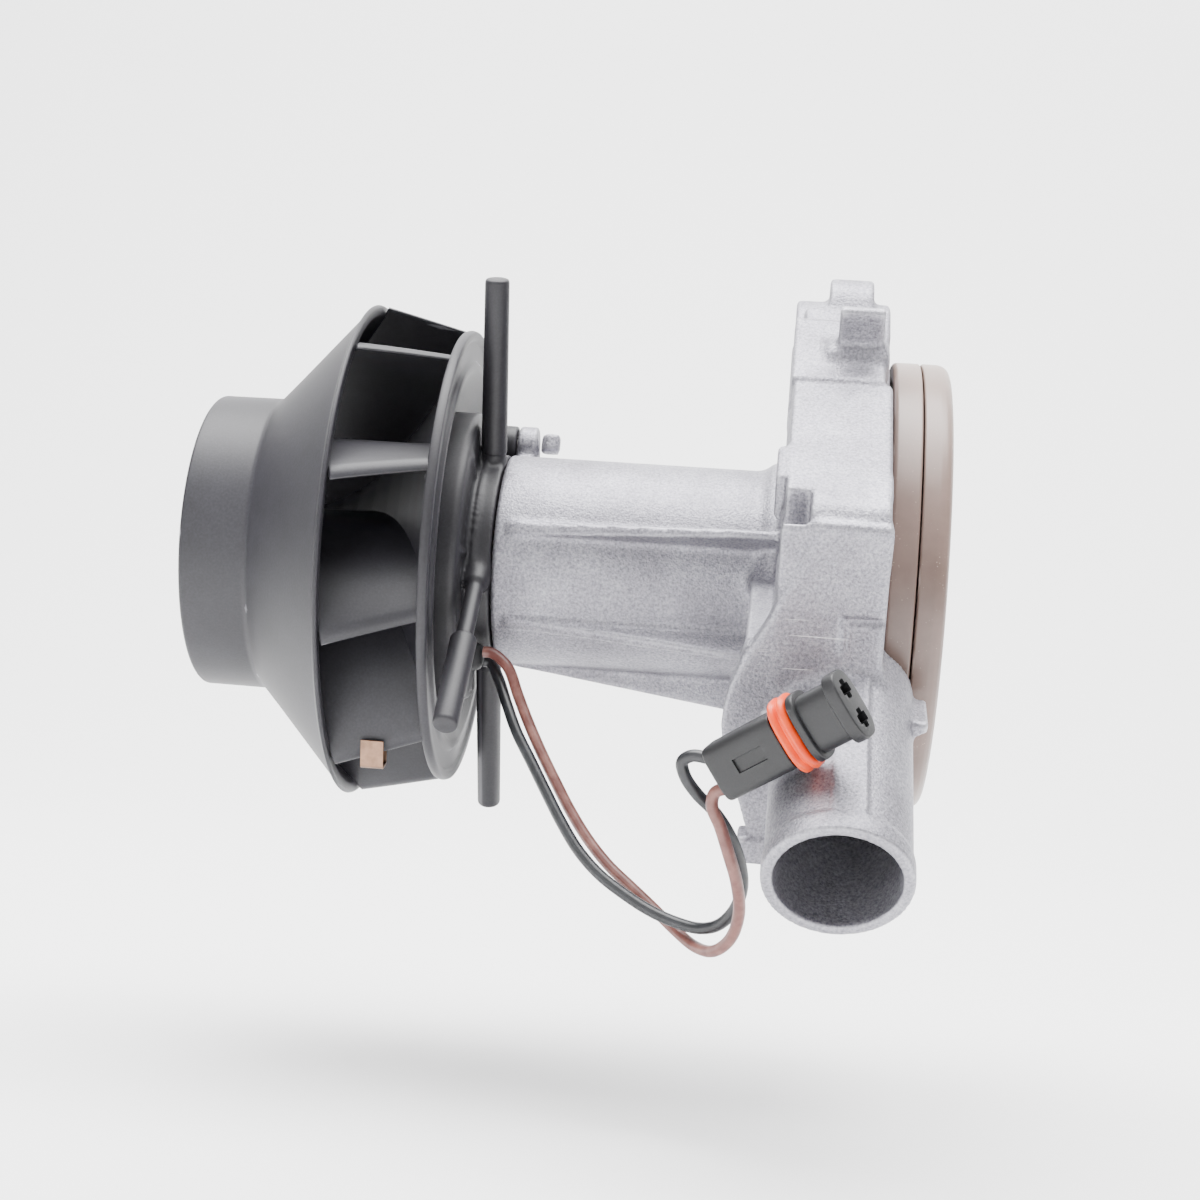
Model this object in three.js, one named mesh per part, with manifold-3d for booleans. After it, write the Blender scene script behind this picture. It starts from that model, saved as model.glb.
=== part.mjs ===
// Blower unit of a diesel air heater: one brushed motor drives a mixed-flow heating-air fan
// on its left end and a side-channel combustion-air wheel on its right end.
// Millimetres. +X runs along the shaft from the fan to the combustion-air wheel, +Z is up.
// The origin is on the shaft axis, in the plane of the casting's right-hand seating face.

import * as THREE from 'three';
import Module from 'manifold-3d';
import { mergeVertices } from 'three/addons/utils/BufferGeometryUtils.js';

// ---- Clearances ------------------------------------------------------------------------
const SEAT = 0.3;              // between pieces that are seated in or on each other

// ---- Driving dimensions ----------------------------------------------------------------
const SHAFT_R = 2.5;
const BARREL_R = 21.3;         // outside of the cast motor barrel
const BARREL_WALL = 2.5;
const BARREL_LENGTH = 54;      // from the flange's left face to the barrel's open end
const FLANGE_DEPTH = 19;       // thickness of the flange along the shaft
const FLANGE_HALF = 44;        // half width of the flange's square body
const FLANGE_CORNER_R = 12;
const WALL_DROP = 46;          // shaft axis to the foot of the side cheek
const CHEEK_REACH = 50;        // shaft axis to the outside of the side cheek
const BOLT_OFFSET = 38;        // flange bolts, to either side of the shaft axis
const BOLT_HOLE_R = 3.2;
const LUG_R = 8.5;
const BULKHEAD = 5;            // wall between the motor and the side channel
const CHANNEL_INNER_R = 27;
const CHANNEL_OUTER_R = 41;
const CHANNEL_DEPTH = 9;
const STUB_R = 13;             // inlet stub, outside
const STUB_WALL = 2.15;
const STUB_REACH = 93.2;       // shaft axis to the stub's mouth
const STUB_X = -5.6;           // stub axis along the shaft
const STUB_SIDE = -10.3;       // stub axis to the side of the shaft axis
const WALL_LEAN = -19;         // lower wall, turned from square to the stub
const WALL_DEPTH = 59.3;       // shaft axis to the outside of the leaning lower wall
const TILT = -50;              // the casting is turned this far about the shaft, in degrees
const WHEEL_R = 44.7;          // combustion-air wheel
const WHEEL_WIDTH = 11.4;
const WHEEL_VANES = 18;
const CAN_WALL = 1.2;
const MAGNET_THICKNESS = 4;
const AIR_GAP = 0.6;
const BEARING_R = 8;
const BEARING_WIDTH = 5;
const COVER_R = 29.5;          // motor end cover drum
const COVER_WIDTH = 9;
const NECK_LENGTH = 5.5;      // neck between the drum and the barrel
const COVER_WALL = 2;
const FAN_EYE_R = 29.9;        // fan inlet collar, outside
const FAN_RIM_R = 50.5;
const FAN_BACK_R = 46.2;
const FAN_COLLAR = 13.3;       // length of the inlet collar
const FAN_CONE = 19;           // length of the shroud's cone
const FAN_OUTLET = 18.3;       // shroud rim to back ring, along the shaft
const FAN_BLADES = 10;
const SHROUD_WALL = 1.7;
const BLADE_THICKNESS = 1.8;
const PEG_R = 1.7;
const SLEEVE_R = 2.6;
const LEAD_R = 1.1;

// ---- Places along the shaft -------------------------------------------------------------
const flangeLeft = -FLANGE_DEPTH;
const barrelLeft = flangeLeft - BARREL_LENGTH - 2;
const bulkheadLeft = flangeLeft - BULKHEAD;
const channelFloor = -CHANNEL_DEPTH;
const coverRight = barrelLeft - NECK_LENGTH;
const coverLeft = coverRight - COVER_WIDTH;
const fanBack = coverRight - 4.2;
const fanRim = fanBack - FAN_OUTLET;
const fanShoulder = fanRim - FAN_CONE;
const fanFront = fanShoulder - FAN_COLLAR;
const hubNose = fanShoulder + 4;
const wheelLeft = 0.6;
const wheelRight = wheelLeft + WHEEL_WIDTH;
const wheelSplit = (wheelLeft + wheelRight) / 2;
const barrelBore = BARREL_R - BARREL_WALL;
const canR = barrelBore - SEAT;
const magnetR = canR - CAN_WALL - SEAT;
const armatureR = magnetR - MAGNET_THICKNESS - AIR_GAP;
const stubBore = STUB_R - STUB_WALL;
const neckBore = barrelBore - 0.5;

const wasm = await Module();
wasm.setup();

// ---- Geometry helpers ---------------------------------------------------------------------

/** A closed three.js geometry as a solid, with shared corners merged and faces pointing out. */
function solid(geometry) {
  const bare = geometry.clone();
  bare.deleteAttribute('normal');
  bare.deleteAttribute('uv');
  const merged = mergeVertices(bare, 1e-4);
  const places = merged.attributes.position;
  const corners = [new THREE.Vector3(), new THREE.Vector3(), new THREE.Vector3()];
  const triangles = [];
  let volume = 0;
  for (let i = 0; i < merged.index.count; i += 3) {
    const [a, b, c] = [0, 1, 2].map((k) => merged.index.getX(i + k));
    if (a === b || b === c || c === a) continue;
    triangles.push([a, b, c]);
    [a, b, c].forEach((v, k) => corners[k].fromBufferAttribute(places, v));
    volume += corners[0].dot(corners[1].cross(corners[2]));
  }
  const turned = volume < 0 ? triangles.map(([a, b, c]) => [a, c, b]) : triangles;
  return new wasm.Manifold(new wasm.Mesh({
    numProp: 3,
    vertProperties: new Float32Array(places.array),
    triVerts: new Uint32Array(turned.flat()),
  }));
}

/** A solid back as a three.js geometry. */
function surface(body) {
  const mesh = body.getMesh();
  const geometry = new THREE.BufferGeometry();
  geometry.setAttribute('position', new THREE.BufferAttribute(new Float32Array(mesh.vertProperties), 3));
  geometry.setIndex(new THREE.BufferAttribute(new Uint32Array(mesh.triVerts), 1));
  geometry.computeVertexNormals();
  return geometry;
}

const join = (first, ...others) => others.reduce((sum, piece) => sum.add(piece), first);
const cut = (first, ...others) => others.reduce((rest, piece) => rest.subtract(piece), first);

/** A body of revolution about the X axis from a profile of [x, radius] points. */
function turned(profile, segments = 24) {
  const points = profile.map(([x, radius]) => new THREE.Vector2(radius, x));
  const onAxis = profile[0][1] === 0 && profile.at(-1)[1] === 0;
  if (!onAxis) points.push(points[0].clone());
  const geometry = new THREE.LatheGeometry(points, segments);
  geometry.rotateZ(-Math.PI / 2);
  return solid(geometry);
}

const disc = (x0, x1, radius, segments) =>
  turned([[x0, 0], [x0, radius], [x1, radius], [x1, 0]], segments);

const ring = (x0, x1, inner, outer, segments) =>
  turned([[x0, inner], [x0, outer], [x1, outer], [x1, inner]], segments);

/** A flat outline in (y, z), extruded along X from x0 to x1. */
function alongX(shape, x0, x1, curveSegments = 2) {
  const geometry = new THREE.ExtrudeGeometry(shape, {
    depth: x1 - x0, bevelEnabled: false, curveSegments,
  });
  const [x, y, z] = [0, 1, 2].map((k) => new THREE.Vector3().setComponent(k, 1));
  geometry.applyMatrix4(new THREE.Matrix4().makeBasis(y, z, x));
  geometry.translate(x0, 0, 0);
  return solid(geometry);
}

/** A flat outline in (x, y), extruded along Z from z0 to z1. */
function alongZ(shape, z0, z1, curveSegments = 2) {
  const geometry = new THREE.ExtrudeGeometry(shape, {
    depth: z1 - z0, bevelEnabled: false, curveSegments,
  });
  geometry.translate(0, 0, z0);
  return solid(geometry);
}

/** An outline through straight points. */
const outline = (points) => new THREE.Shape(points.map(([u, v]) => new THREE.Vector2(u, v)));

/** A rectangle with rounded corners. */
function roundedBox(left, bottom, right, top, radius) {
  const shape = new THREE.Shape();
  shape.moveTo(left + radius, bottom);
  shape.lineTo(right - radius, bottom);
  shape.absarc(right - radius, bottom + radius, radius, -Math.PI / 2, 0);
  shape.lineTo(right, top - radius);
  shape.absarc(right - radius, top - radius, radius, 0, Math.PI / 2);
  shape.lineTo(left + radius, top);
  shape.absarc(left + radius, top - radius, radius, Math.PI / 2, Math.PI);
  shape.lineTo(left, bottom + radius);
  shape.absarc(left + radius, bottom + radius, radius, Math.PI, 1.5 * Math.PI);
  return shape;
}

/** A box between two corners. */
function block(low, high) {
  const size = high.map((value, k) => value - low[k]);
  const geometry = new THREE.BoxGeometry(...size);
  geometry.translate(...high.map((value, k) => (value + low[k]) / 2));
  return solid(geometry);
}

/** A round bar between two points; the second radius makes it a taper. */
function bar(from, to, radius, segments = 16, endRadius = radius) {
  const start = new THREE.Vector3(...from);
  const way = new THREE.Vector3(...to).sub(start);
  const geometry = new THREE.CylinderGeometry(endRadius, radius, way.length(), segments);
  geometry.translate(0, way.length() / 2, 0);
  const turn = new THREE.Quaternion().setFromUnitVectors(new THREE.Vector3(0, 1, 0), way.normalize());
  geometry.applyQuaternion(turn);
  geometry.translate(...from);
  return solid(geometry);
}

/** A solid turned about the X axis, in degrees. */
const spun = (body, degrees) => body.rotate([degrees, 0, 0]);

/** The point at a radius and an angle about the shaft; 0 is up and 90 is towards -Y. */
function around(radius, degrees) {
  const angle = THREE.MathUtils.degToRad(degrees);
  return [-radius * Math.sin(angle), radius * Math.cos(angle)];
}

// ---- Scene graph --------------------------------------------------------------------------

const finish = {
  castAluminium: [0xa9a7ab, 0.55, 0.9],
  blackPlastic: [0x37363b, 0.7, 0],
  brownPlastic: [0x7d6a63, 0.45, 0],
  steel: [0x9b9ca0, 0.35, 1],
  brightSteel: [0xc4c5c8, 0.25, 1],
  darkSteel: [0x55565a, 0.5, 1],
  ferrite: [0x3a3a3d, 0.8, 0],
  copper: [0xb36a3c, 0.4, 1],
  carbon: [0x26262a, 0.8, 0],
  bronze: [0x8a6a52, 0.45, 1],
  sealOrange: [0xf0521c, 0.5, 0],
  rubber: [0x202022, 0.85, 0],
  leadBlack: [0x2b2d31, 0.5, 0],
  leadBrown: [0x6f4640, 0.5, 0],
  brass: [0xb9975a, 0.35, 1],
  felt: [0x8b8477, 0.95, 0],
};

const root = new THREE.Group();
const casting = new THREE.Group();
casting.rotation.x = THREE.MathUtils.degToRad(TILT);
root.add(casting);

/** Adds one named piece to a group. */
function add(group, name, body, look) {
  const [color, roughness, metalness] = finish[look];
  const material = new THREE.MeshStandardMaterial({ color, roughness, metalness });
  const mesh = new THREE.Mesh(surface(body), material);
  mesh.name = name;
  group.add(mesh);
  return mesh;
}

// ---- Die-cast housing: barrel, flange, side channel and inlet stub -------------------------
// In the casting's own group -Z points down the inlet stub, and -Y is the side cheek.

const RIBS = [-55, -3, 50, 103, 155];
const LUG_CORNERS = [[-1, -1], [-1, 1], [1, -1], [1, 1]];

/** One tapered rib of the barrel, standing on its -Z side before it is turned into place. */
function barrelRib() {
  const root = BARREL_R - 1;
  const profile = outline([
    [barrelLeft + 3, 0], [flangeLeft + 1, 0], [flangeLeft + 1, 7.3], [flangeLeft - 8, 7.3],
    [barrelLeft + 3, 1.5],
  ]);
  return alongZ(profile, -1.1, 1.1).rotate([-90, 0, 0]).translate([0, 0, -root]);
}

function housingCasting() {
  const square = roundedBox(-FLANGE_HALF, -FLANGE_HALF, FLANGE_HALF, FLANGE_HALF, FLANGE_CORNER_R);
  let body = alongX(square, flangeLeft, 0, 3);

  // Side cheek, with its step, locating tab and shoulder block.
  body = join(body,
    block([flangeLeft, -CHEEK_REACH, -WALL_DROP + 8], [0, -FLANGE_HALF + 6, -3]),
    block([flangeLeft, -CHEEK_REACH - 0.8, -3.2], [-1.5, -FLANGE_HALF + 6, 18]),
    block([-10.7, -CHEEK_REACH - 10.5, 5], [-2.2, -CHEEK_REACH + 2, 7]),
    alongX(roundedBox(-CHEEK_REACH, -WALL_DROP, -30, -30, 5), -14, 0));

  // Lower wall: it leans outwards, and its left edge swells out over the barrel.
  const leaning = (piece) => spun(piece, WALL_LEAN);
  const wall = outline([
    [0, -30.5], [-12, -31], [-13.5, -27.2], [-16.8, -19.6], [-20.6, -11.9], [-24.3, -5], [-26.7, 1.9],
    [-27.3, 7.8], [-26.3, 13.6], [-24.1, 20.4], [-21.8, 27.8], [-19.2, 34.5], [0, 34.5],
  ]);
  const scroll = outline([[-31, -58.5], [34.5, -58.5], [42, -38], [30, -30], [-20, -50]]);
  body = join(body, leaning(alongZ(wall, -WALL_DEPTH, -WALL_DEPTH + 3.5)),
    leaning(alongX(scroll, flangeLeft, 0)));
  for (const side of [-6, 17]) {
    body = join(body, leaning(
      block([-24, side - 1.5, -WALL_DEPTH + 1], [flangeLeft + 2, side + 1.5, -BARREL_R + 3])));
  }

  // Corner lugs for the flange bolts; the shoulder block serves at the lower front corner.
  for (const [sy, sz] of LUG_CORNERS) {
    const [y, z] = [sy * BOLT_OFFSET, sz * BOLT_OFFSET];
    if (sy + sz > -2) body = join(body, bar([-12.4, y, z], [-3.5, y, z], LUG_R, 16));
  }

  // Barrel and its ribs.
  body = join(body, ring(barrelLeft, flangeLeft + 1, barrelBore - 1, BARREL_R, 60));
  for (const angle of RIBS) body = join(body, spun(barrelRib(), -angle));

  // Bracket ears at the barrel's open end, for the cover's screws.
  body = join(body, coverEar('upper'), coverEar('lower'), controlBracket());

  // Inlet stub with its lip, and the shelf beside it.
  const stub = (depth0, depth1, radius, endRadius) => bar(
    [STUB_X, STUB_SIDE, -depth0], [STUB_X, STUB_SIDE, -depth1], radius, 24, endRadius);
  body = join(body,
    stub(WALL_DROP - 6, STUB_REACH, STUB_R - 0.4),
    stub(STUB_REACH - 4, STUB_REACH, STUB_R),
    leaning(alongZ(outline([[-1, 4.2], [9.4, 4.6], [9.2, 6.6], [2, 9.5], [-1, 10.5]]), -WALL_DEPTH, -48)));

  // Hollows: barrel bore, bulkhead bore, side channel, inlet passage, outlet notch, bolt holes.
  const channel = cut(ring(channelFloor, 2, CHANNEL_INNER_R, CHANNEL_OUTER_R, 60), stripper());
  const passage = block(
    [-16, STUB_SIDE - 8, -STUB_REACH + 38], [-2.5, STUB_SIDE + 8, -CHANNEL_OUTER_R + 4]);
  body = cut(body,
    disc(barrelLeft - 1, bulkheadLeft, barrelBore, 60),
    disc(bulkheadLeft - 1, 1, BEARING_R + 1.8, 36),
    channel,
    stub(WALL_DROP + 4, STUB_REACH + 1, stubBore),
    passage,
    block([-CHANNEL_DEPTH, -CHANNEL_OUTER_R - 2, 12], [2, -CHANNEL_OUTER_R + 4, 24]),
    disc(0, WHEEL_WIDTH + 4, WHEEL_R + 1.3, 60),
    leaning(block([-6.8, -13.6, -WALL_DEPTH - 1], [1, -7.6, -WALL_DEPTH + 0.6])));
  for (const [sy, sz] of LUG_CORNERS) {
    const [y, z] = [sy * BOLT_OFFSET, sz * BOLT_OFFSET];
    body = cut(body, bar([flangeLeft - 9, y, z], [1, y, z], BOLT_HOLE_R, 16));
  }
  for (const side of Object.keys(EARS)) body = cut(body, coverScrewHole(side));
  for (const angle of CAN_SCREWS) {
    const [y, z] = around(CAN_SCREW_PCR, angle);
    body = cut(body, bar([bulkheadLeft - 1, y, z], [1, y, z], CAN_SCREW_R + SEAT, 8));
    body = cut(body, bar([flangeLeft + 1, y, z], [1, y, z], CAN_SCREW_HEAD_R + 0.6, 12));
  }
  return body;
}

/** The block that interrupts the side channel between its inlet and its outlet. */
function stripper() {
  return block([channelFloor - 1, -CHANNEL_OUTER_R - 3, -18], [3, -CHANNEL_INNER_R + 12, 8]);
}

// ---- Screws that hold the motor can to the bulkhead ------------------------------------------
const CAN_SCREWS = [90, 210, 330];
const CAN_SCREW_PCR = 13;
const CAN_SCREW_R = 1.5;
const CAN_SCREW_HEAD_R = 2.9;

function canScrew(angle) {
  const [y, z] = around(CAN_SCREW_PCR, angle);
  const seat = flangeLeft + 1 + SEAT;
  const head = bar([seat, y, z], [seat + 2.4, y, z], CAN_SCREW_HEAD_R, 12);
  const shank = bar([bulkheadLeft + SEAT, y, z], [seat + 1, y, z], CAN_SCREW_R, 8);
  const socket = bar([seat + 1.2, y, z], [seat + 4, y, z], 1.3, 6);
  return cut(join(head, shank), socket);
}

// ---- Ears of the barrel and screws of the end cover --------------------------------------------
const EARS = { upper: 28, lower: -62 };
const EAR_REACH = 26;
const EAR_THICKNESS = 4;
const COVER_SCREW_R = 1.5;

const earPlace = (side) => around(EAR_REACH, EARS[side]);

function coverEar(side) {
  const [y, z] = earPlace(side);
  const plate = bar([barrelLeft, y, z], [barrelLeft + EAR_THICKNESS, y, z], 4.2, 14);
  const inward = 20 / EAR_REACH;
  const web = bar([barrelLeft + EAR_THICKNESS / 2, y * inward, z * inward],
    [barrelLeft + EAR_THICKNESS / 2, y, z], EAR_THICKNESS / 2, 12);
  return join(plate, web);
}

/** The small bracket behind the upper ear. */
function controlBracket() {
  const left = barrelLeft + 5;
  const upright = spun(block([left, -1.2, BARREL_R - 1.5], [left + 4, 1.2, BARREL_R + 6.5]), EARS.upper + 6);
  const foot = spun(block([left, -1.2, BARREL_R - 1.5], [left + 1.6, 4.5, BARREL_R + 4]), EARS.upper + 6);
  return join(upright, foot);
}

function coverScrewHole(side) {
  const [y, z] = earPlace(side);
  return bar([barrelLeft - 1, y, z], [barrelLeft + EAR_THICKNESS + 1, y, z], COVER_SCREW_R + SEAT, 8);
}

function coverScrew(side) {
  const [y, z] = earPlace(side);
  const seat = coverRight - SEAT - 2.5;
  const head = bar([seat - 2, y, z], [seat, y, z], 2.8, 12);
  const shank = bar([seat - 1, y, z], [barrelLeft + EAR_THICKNESS - 0.5, y, z], COVER_SCREW_R, 8);
  const socket = bar([seat - 3, y, z], [seat - 0.9, y, z], 1.3, 6);
  return cut(join(head, shank), socket);
}

add(casting, 'blower_casting', housingCasting(), 'castAluminium');
CAN_SCREWS.forEach((angle, i) => add(casting, `motor_screw_${i + 1}`, canScrew(angle), 'steel'));
for (const side of Object.keys(EARS)) add(casting, `cover_screw_${side}`, coverScrew(side), 'steel');

// ---- Motor stator ---------------------------------------------------------------------------
const canRight = bulkheadLeft - SEAT;
const canLeft = barrelLeft + 2.5;
const cupRight = canRight + BEARING_WIDTH - 0.4 + SEAT + 1;

function motorCan() {
  const cup = BEARING_R + SEAT;
  const body = turned([
    [canLeft, canR - CAN_WALL], [canLeft, canR], [canRight, canR], [canRight, cup + 1],
    [cupRight, cup + 1], [cupRight, 4.2], [cupRight - 1, 4.2], [cupRight - 1, cup],
    [canRight - CAN_WALL, cup], [canRight - CAN_WALL, canR - CAN_WALL],
  ], 30);
  const holes = CAN_SCREWS.map((angle) => {
    const [y, z] = around(CAN_SCREW_PCR, angle);
    return bar([canRight - 3, y, z], [canRight + 1, y, z], CAN_SCREW_R + SEAT, 8);
  });
  return cut(body, ...holes);
}

const stackLeft = canLeft + 8;
const stackRight = canRight - 9;

/** One arc-shaped magnet; the side picks the left or right half of the can. */
function magnet(side) {
  const whole = ring(stackLeft - 2, stackRight + 2, magnetR - MAGNET_THICKNESS, magnetR, 30);
  const reach = magnetR + 1;
  const window = outline([[0, 0], [side * reach, -0.8 * reach], [side * reach, 0.8 * reach]]);
  return whole.intersect(alongX(window, stackLeft - 3, stackRight + 3));
}

add(casting, 'motor_can', motorCan(), 'darkSteel');
add(casting, 'magnet_front', magnet(-1), 'ferrite');
add(casting, 'magnet_rear', magnet(1), 'ferrite');

// ---- Ball bearings: outer ring in the housing, inner ring on the shaft, caged balls between ----
const BEARING_SPOTS = { left: coverLeft + COVER_WALL + 0.2, right: canRight - 0.4 };
const BALLS = 7;
const BALL_R = 1.3;
const raceR = (BEARING_R + SHAFT_R) / 2 + 0.15;

function outerRace(x) {
  return ring(x, x + BEARING_WIDTH, raceR + BALL_R + 0.15, BEARING_R, 24);
}

function innerRace(x) {
  return ring(x, x + BEARING_WIDTH, SHAFT_R + SEAT, raceR - BALL_R - 0.15, 24);
}

/** The balls and the cage that carries them round, as one piece. */
function ballCage(x) {
  const middle = x + BEARING_WIDTH / 2;
  let cage = ring(middle - 0.5, middle + 0.5, raceR - 0.6, raceR + 0.6, 21);
  for (let i = 0; i < BALLS; i += 1) {
    const [y, z] = around(raceR, (360 / BALLS) * i);
    const ball = new THREE.SphereGeometry(BALL_R, 6, 4);
    ball.translate(middle, y, z);
    cage = join(cage, solid(ball));
  }
  return cage;
}

for (const [side, x] of Object.entries(BEARING_SPOTS)) {
  add(root, `bearing_outer_ring_${side}`, outerRace(x), 'brightSteel');
  add(root, `bearing_inner_ring_${side}`, innerRace(x), 'brightSteel');
  add(root, `bearing_balls_${side}`, ballCage(x), 'brightSteel');
}

// ---- Rotor: shaft, laminated core, windings, commutator -------------------------------------
const shaftLeft = hubNose + 2.5;
const shaftRight = wheelRight - 2.2;
const commutatorLeft = coverLeft + COVER_WALL + BEARING_WIDTH + 1.5;
const commutatorRight = commutatorLeft + 7;
const COMMUTATOR_R = 6;
const SLOTS = 7;

/** The stack's outline: poles with a neck, and slots open to the air gap. */
function armatureCore() {
  let core = ring(stackLeft, stackRight, SHAFT_R + SEAT, armatureR, 28);
  for (let i = 0; i < SLOTS; i += 1) {
    const slot = block([stackLeft - 1, -1, armatureR - 2.5], [stackRight + 1, 1, armatureR + 1]);
    const pocket = alongX(outline([
      [-1.2, 5], [1.2, 5], [4, armatureR - 2.2], [-4, armatureR - 2.2],
    ]), stackLeft - 1, stackRight + 1);
    core = cut(core, spun(join(slot, pocket), (360 / SLOTS) * i));
  }
  return core;
}

/** Copper coils: a bar in every slot, joined by the end turns at both ends of the stack. */
function windings() {
  const ends = [[stackLeft - 5, stackLeft - SEAT], [stackRight + SEAT, stackRight + 5]];
  let copper = join(...ends.map(([x0, x1]) => turned([
    [x0, SHAFT_R + 1.5], [x0, armatureR - 4], [x0 + 1.2, armatureR - 2.6], [x1 - 0.6, armatureR - 2.6],
    [x1, armatureR - 3], [x1, SHAFT_R + 1.5],
  ], 21)));
  for (let i = 0; i < SLOTS; i += 1) {
    const inSlot = alongX(outline([
      [-0.7, 5.5], [0.7, 5.5], [3, armatureR - 2.8], [-3, armatureR - 2.8],
    ]), stackLeft - 1, stackRight + 1);
    copper = join(copper, spun(inSlot, (360 / SLOTS) * i));
  }
  return copper;
}

/** Commutator: a moulded barrel with copper bars set apart by narrow slits. */
function commutator() {
  let body = join(
    ring(commutatorLeft, commutatorRight, SHAFT_R + SEAT, COMMUTATOR_R, 21),
    ring(commutatorRight - 1.4, commutatorRight, SHAFT_R + SEAT, COMMUTATOR_R + 1.3, 21));
  for (let i = 0; i < SLOTS; i += 1) {
    const slit = block([commutatorLeft - 1, -0.25, COMMUTATOR_R - 0.8],
      [commutatorRight + 1, 0.25, COMMUTATOR_R + 2]);
    body = cut(body, spun(slit, (360 / SLOTS) * (i + 0.5)));
  }
  return body;
}

add(root, 'motor_shaft', turned([
  [shaftLeft, 0], [shaftLeft, SHAFT_R - 0.5], [shaftLeft + 0.5, SHAFT_R],
  [shaftRight - 0.5, SHAFT_R], [shaftRight, SHAFT_R - 0.5], [shaftRight, 0],
], 20), 'brightSteel');
add(root, 'armature_core', armatureCore(), 'darkSteel');
add(root, 'armature_windings', windings(), 'copper');
add(root, 'commutator', commutator(), 'copper');

// ---- Brush gear inside the end cover: one brush above the commutator, one below -------------
const BRUSH_SIZE = 4;
const BRUSH_LENGTH = 5.5;
const BRUSH_TRAVEL = 2;
const HOLDER_WALL = 0.9;
const SPRING_SPACE = 2.9;      // left for the spring when the brush is pushed right back
const brushX = (commutatorLeft + commutatorRight - 1.4) / 2;
const brushFoot = COMMUTATOR_R + 0.15;
const holderOuter = brushFoot + BRUSH_LENGTH + BRUSH_TRAVEL + SPRING_SPACE + HOLDER_WALL;

/** A box standing off the shaft axis on one side, from one radius to another. */
function radialBox(side, x0, x1, half, near, far) {
  const ends = [side * near, side * far];
  return block([x0, -half, Math.min(...ends)], [x1, half, Math.max(...ends)]);
}

/** Carrier plate of the brushes, with a guide box on either side of the commutator. */
function brushPlate() {
  const half = BRUSH_SIZE / 2;
  const outer = half + SEAT + HOLDER_WALL;
  const inner = half + SEAT;
  let plate = ring(barrelLeft - 1.9, barrelLeft - SEAT, COMMUTATOR_R + 2.2, neckBore - SEAT, 24);
  for (const side of [-1, 1]) {
    plate = join(plate,
      radialBox(side, brushX - outer, brushX + outer, outer, COMMUTATOR_R + 2.1, holderOuter));
  }
  for (const side of [-1, 1]) {
    plate = cut(plate, radialBox(side, brushX - inner, brushX + inner, inner,
      COMMUTATOR_R - 1, holderOuter - HOLDER_WALL));
  }
  return plate;
}

/** A carbon brush, its foot hollowed to the commutator. */
function brush(side) {
  const half = BRUSH_SIZE / 2;
  const stick = radialBox(side, brushX - half, brushX + half, half,
    COMMUTATOR_R - 1, brushFoot + BRUSH_LENGTH);
  return cut(stick, disc(commutatorLeft - 2, commutatorRight + 2, brushFoot, 21));
}

/** A coil spring between a brush and the closed end of its guide. */
function brushSpring(side) {
  const start = brushFoot + BRUSH_LENGTH + SEAT;
  const end = holderOuter - HOLDER_WALL - SEAT;
  const turns = 4;
  const wireR = 0.25;
  class Coil extends THREE.Curve {
    getPoint(t, target = new THREE.Vector3()) {
      const angle = t * turns * 2 * Math.PI;
      const along = side * (start + wireR + (end - start - 2 * wireR) * t);
      return target.set(brushX + 1.4 * Math.cos(angle), 1.4 * Math.sin(angle), along);
    }
  }
  const wire = new THREE.Shape().absarc(0, 0, wireR, 0, 2 * Math.PI);
  return solid(new THREE.ExtrudeGeometry(wire, {
    extrudePath: new Coil(), steps: 28, curveSegments: 2, bevelEnabled: false,
  }));
}

/** A suppression choke: a wound ferrite rod lying across the drum. */
function choke(side) {
  const y = side * (COVER_R - COVER_WALL - 7);
  const x = coverLeft + COVER_WALL + 2 + SEAT;
  const core = bar([x, y, -6], [x, y, 6], 1.3, 10);
  const coil = bar([x, y, -4.5], [x, y, 4.5], 2, 12);
  return join(core, coil);
}

add(root, 'brush_plate', brushPlate(), 'blackPlastic');
for (const [name, side] of [['upper', 1], ['lower', -1]]) {
  add(root, `carbon_brush_${name}`, brush(side), 'carbon');
  add(root, `brush_spring_${name}`, brushSpring(side), 'steel');
}
add(root, 'suppression_choke_front', choke(-1), 'copper');
add(root, 'suppression_choke_rear', choke(1), 'copper');

// ---- Motor end cover, its pegs and the sleeves on them --------------------------------------
// Every peg is a foot point on the neck and the direction in which it stands off.
const NECK_R = BARREL_R;
const pegX = coverRight + SLEEVE_R + SEAT;
const PEGS = {
  top: { foot: [pegX, -8, 17], tip: [pegX, -22, 54], bare: 4 },
  front: { foot: [pegX, -19, -2.5], tip: [pegX, -49, -32.5], bare: 20 },
  bottom: { foot: [pegX, 2.5, -18.4], tip: [pegX, 20, -52], bare: 4 },
};

/** A point a given distance from a peg's tip, back along the peg. */
function onPeg({ foot, tip }, distance) {
  const end = new THREE.Vector3(...tip);
  const way = new THREE.Vector3(...foot).sub(end).normalize();
  return end.addScaledVector(way, distance).toArray();
}

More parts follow.
